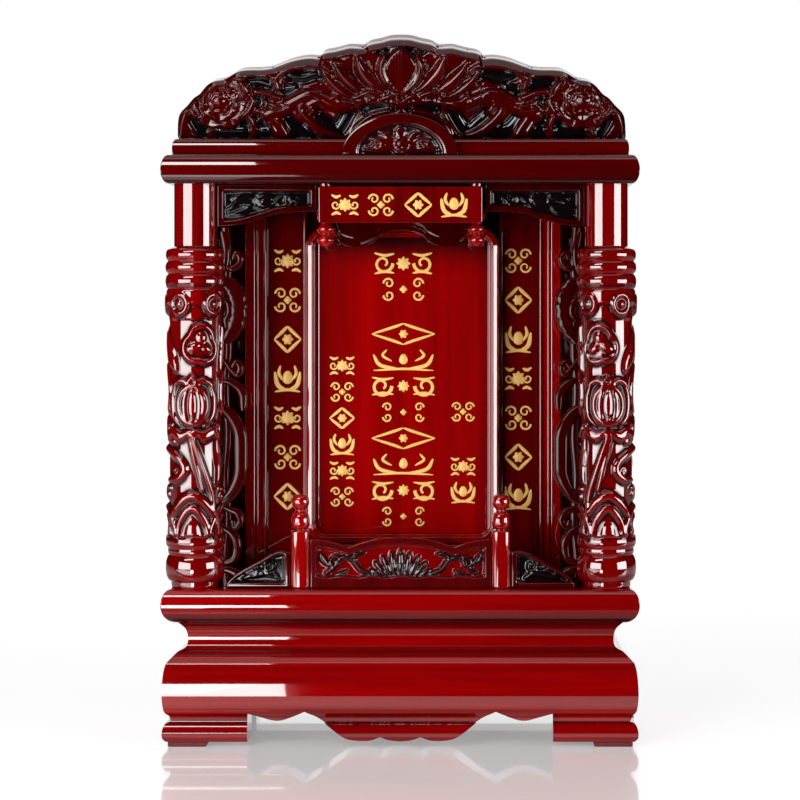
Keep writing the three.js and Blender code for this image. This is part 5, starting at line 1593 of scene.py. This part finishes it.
class TABLET_OT_finishes(bpy.types.Operator):
    """Builds the finishes and the node groups that they share"""
    bl_idname = "tablet.finishes"
    bl_label = "Finishes"

    def execute(self, context):
        colours = context.scene.tablet_finishes
        groups = {"grain": grain_group(), "ripple": ripple_group()}
        for name, strength, change in LACQUERS:
            light, dark = solid(colours.red, strength), solid(colours.deep_red, strength)
            lacquer_material(name, light, dark, solid(colours.ground), groups, {**PLAIN_LACQUER, **change})
        gilt_material(tuple(colours.gilt), groups)
        matte_material("bare_wood", colours.wood, [0.5 * c for c in colours.wood], groups, 90.0, 0.55)
        matte_material("pad_rubber", *RUBBER, groups, 400.0, 0.5)
        return {"FINISHED"}


# Stage

FLOOR_FRONT = 0.228  # how far the floor comes forward, in metres
PICTURE_PX = 800
CEILING_HEIGHT = 2.4
MIDDLE = (0, 0, 0.24)
# Lamps: name, width, height, place and what it faces, in metres. The lower two lie at floor level and
# below the floor's front edge, in front at the left, and are seen only as reflections low on the base.
LAMPS = (
    ("left light", 1.0, 0.47, (-0.8, -0.95, 0.24), MIDDLE),
    ("right light", 0.8, 0.47, (1.08, -0.62, 0.24), MIDDLE),
    ("top light", 0.75, 0.22, (-0.58, -0.95, 0.88), (-0.58, 0, 0.2)),
    ("low light", 0.75, 0.46, (-0.54, -0.53, -0.001), (-0.54, -0.53001, 1)),
    ("strip light", 0.2, 0.2, (-0.262, -1.0, -0.108), (-0.262, 0, -0.108)),
)


class StageSizes(bpy.types.PropertyGroup):
    eye_height: length_size("Eye height", "Height of the camera over the floor", 285)
    distance: length_size("Distance", "From the camera to the front of the base", 1300, 0.1)
    aside: length_size("Aside", "How far the camera stands to the right of the middle", 45)
    frame_height: length_size(
        "Frame height", "Height of the picture at the front of the base", PICTURE_PX * PIXEL, 0.1)
    left_light: power_size("Left light", "Power of the tall light at the left", 11.2)
    right_light: power_size("Right light", "Power of the tall light at the right", 9.7)
    top_light: power_size("Top light", "Power of the light over the object", 4.2)
    low_light: power_size("Low light", "Power of the light that lies in front at the left", 3.7)
    strip_light: power_size("Strip light", "Power of the small light below the floor's front edge", 1.1)


def area_light(name, width, height, power, place, target):
    """A soft rectangular light that faces a target: its azimuth is measured from -Y, and one that lies
    flat keeps its width along X."""
    data = bpy.data.lights.new(name, "AREA")
    data.shape = "RECTANGLE"
    data.size, data.size_y, data.energy = width, height, power
    lamp = bpy.data.objects.new(name, data)
    bpy.context.scene.collection.objects.link(lamp)
    lamp.location = place
    x, y, z = np.array(target) - np.array(place)
    lamp.rotation_euler = (math.pi / 2 + math.atan2(z, math.hypot(x, y)), 0, math.atan2(x, -y) + math.pi)


def seen_ray(tree):
    """1 where the camera, a mirror or a glass looks at a surface, and 0 for light: the largest of the
    three values of Light Path."""
    path = add_node(tree, "LightPath")
    seen = add_node(tree, "Math", {0: path["Is Camera Ray"], 1: path["Is Glossy Ray"]}, operation="MAXIMUM")
    return add_node(tree, "Math", {0: seen[0], 1: path["Is Transmission Ray"]}, operation="MAXIMUM")[0]


def add_sheet(points, material, closed=False):
    """A stage piece, named as its material: a grid of points in metres, each four neighbours a face. The
    rows of a closed one meet at their ends."""
    index = np.arange(points.shape[0] * points.shape[1]).reshape(points.shape[:2])
    index = np.hstack([index, index[:, :1]]) if closed else index
    faces = np.stack([index[:-1, :-1], index[:-1, 1:], index[1:, 1:], index[1:, :-1]], -1).reshape(-1, 4)
    mesh = bpy.data.meshes.new(material.name)
    mesh.from_pydata(points.reshape(-1, 3), [], faces.tolist())
    mesh.materials.append(material)
    sheet = bpy.data.objects.new(material.name, mesh)
    bpy.context.scene.collection.objects.link(sheet)
    return sheet


def ring_rows(turn, rows):
    """Points round the upright axis, turn being measured from -Y: one row for each (radius, height)."""
    return np.stack([
        np.stack([r * np.sin(turn), -r * np.cos(turn), np.full(len(turn), z)], -1) for r, z in rows])


class TABLET_OT_stage(bpy.types.Operator):
    """Builds the pale floor and backdrop, the soft lights and the camera"""
    bl_idname = "tablet.stage"
    bl_label = "Stage"

    def execute(self, context):
        sizes = context.scene.tablet_stage
        self.floor()
        self.world(context.scene)
        self.surroundings()
        for name, width, height, place, target in LAMPS:
            area_light(name, width, height, getattr(sizes, name.replace(" ", "_")), place, target)
        self.camera(context.scene, sizes)
        return {"FINISHED"}

    def floor(self):
        """One level sheet, short in front and long behind, which glows a little where it is seen, more
        towards its rear."""
        grey = 0.82
        material, tree, shader = new_material(
            "floor", Base_Color=(grey, grey, grey, 1), Roughness=0.3, Coat_Weight=1.0, Coat_Roughness=0.04,
            Coat_IOR=2.3, Emission_Color=(1, 1, 1, 1))
        place = add_node(tree, "TexCoord")["Object"]
        behind = add_node(tree, "SeparateXYZ", {0: place})["Y"]
        glow = ramp(tree, behind, 0.46, 0.8, **{"From Min": 0.1, "From Max": 1.5})
        feed(tree, shader, {"Emission Strength": product(tree, seen_ray(tree), glow)})
        x, y = np.meshgrid(np.linspace(-3.0, 3.0, 9), [-FLOOR_FRONT, 0.0, 1.0, 2.0, 4.0])
        add_sheet(np.stack([x, y, np.zeros(x.shape)], -1), material)

    def surroundings(self):
        """What the lacquer mirrors besides its lights, all out of the picture: a grey disc high over the
        object for level tops, and a black cloth round the front, which hangs along an arc and runs in
        under the floor's front edge at its foot."""
        ceiling, _, _ = new_material("grey ceiling", Base_Color=(0.3, 0.3, 0.3, 1), Roughness=0.95,
                                     Emission_Color=(1, 1, 1, 1), Emission_Strength=0.3)
        turn = np.linspace(0, 2 * np.pi, 48, endpoint=False)
        add_sheet(ring_rows(turn, [(0.02, CEILING_HEIGHT), (1.3, CEILING_HEIGHT)]), ceiling, closed=True)
        black, _, _ = new_material("black cloth", Base_Color=(0.012, 0.012, 0.012, 1), Roughness=0.95,
                                   Specular_IOR_Level=0.0)
        points = ring_rows(np.radians(np.linspace(-155, 155, 51)), [
            (0.95, -0.004), (1.0, -0.3), (2.3, -0.3), (2.3, 1.2), (2.3, CEILING_HEIGHT),
            (1.6, CEILING_HEIGHT)])
        points[0, :, 1] = np.maximum(points[0, :, 1], -FLOOR_FRONT)
        add_sheet(points, black).visible_camera = False

    def world(self, scene):
        """A dim world for light, and white where it is seen."""
        world = bpy.data.worlds.new("studio")
        world.use_nodes = True
        tree = world.node_tree
        dim = tree.nodes["Background"]
        feed(tree, dim, {"Color": (1, 1, 1, 1), "Strength": 0.3})
        bright = add_node(tree, "Background", {"Color": (1, 1, 1, 1)})
        mix = add_node(tree, "MixShader", {"Fac": seen_ray(tree), 1: dim.outputs[0], 2: bright[0]})
        feed(tree, tree.nodes["World Output"], {"Surface": mix[0]})
        scene.world = world

    def camera(self, scene, sizes):
        """A level camera whose lens spans the frame height at the distance of the base's front."""
        data = bpy.data.cameras.new("camera")
        data.sensor_width = 36.0
        data.lens = data.sensor_width * sizes.distance / sizes.frame_height
        camera = bpy.data.objects.new("camera", data)
        scene.collection.objects.link(camera)
        camera.location = (sizes.aside, CAD_BOX[0][1] - sizes.distance, sizes.eye_height)
        camera.rotation_euler = (math.pi / 2, 0, 0)
        middle = (PIXEL_FLOOR - PICTURE_PX / 2) * PIXEL * MM
        data.shift_x = -sizes.aside / sizes.frame_height
        data.shift_y = (middle - sizes.eye_height) / sizes.frame_height
        scene.camera = camera
        scene.view_settings.view_transform = "Standard"


# Panel and registration

STEPS = (
    TABLET_OT_finishes, TABLET_OT_base, TABLET_OT_columns, TABLET_OT_cornice, TABLET_OT_crest,
    TABLET_OT_header, TABLET_OT_front, TABLET_OT_rear, TABLET_OT_balustrade, TABLET_OT_wings,
    TABLET_OT_stage,
)
SIZES = {
    "tablet_finishes": FinishSizes, "tablet_base": BaseSizes, "tablet_columns": ColumnSizes,
    "tablet_cornice": CorniceSizes, "tablet_crest": CrestSizes, "tablet_header": HeaderSizes,
    "tablet_front": FrontSizes, "tablet_rear": RearSizes, "tablet_rails": RailSizes,
    "tablet_wings": WingSizes, "tablet_stage": StageSizes,
}


class TABLET_PT_panel(bpy.types.Panel):
    """Lists the steps that build the tablet, each with its sizes"""
    bl_idname = "TABLET_PT_panel"
    bl_label = "Ancestral tablet"
    bl_space_type = "VIEW_3D"
    bl_region_type = "UI"
    bl_category = "Tablet"

    def draw(self, context):
        for step, (name, group) in zip(STEPS, SIZES.items()):
            box = self.layout.box()
            box.operator(step.bl_idname)
            for size in group.__annotations__:
                box.prop(getattr(context.scene, name), size)


def register():
    for group in (*SIZES.values(), *STEPS, TABLET_PT_panel):
        bpy.utils.register_class(group)
    for name, group in SIZES.items():
        setattr(bpy.types.Scene, name, bpy.props.PointerProperty(type=group))


def unregister():
    for name in SIZES:
        delattr(bpy.types.Scene, name)
    for group in (TABLET_PT_panel, *STEPS, *SIZES.values()):
        bpy.utils.unregister_class(group)


def main():
    register()
    bpy.ops.tablet.finishes()
    bpy.ops.tablet.base()
    bpy.ops.tablet.columns()
    bpy.ops.tablet.cornice()
    bpy.ops.tablet.crest()
    bpy.ops.tablet.header()
    bpy.ops.tablet.front()
    bpy.ops.tablet.rear()
    bpy.ops.tablet.balustrade()
    bpy.ops.tablet.wings()
    bpy.ops.tablet.stage()
    bpy.context.view_layer.update()


if __name__ == "__main__":
    main()
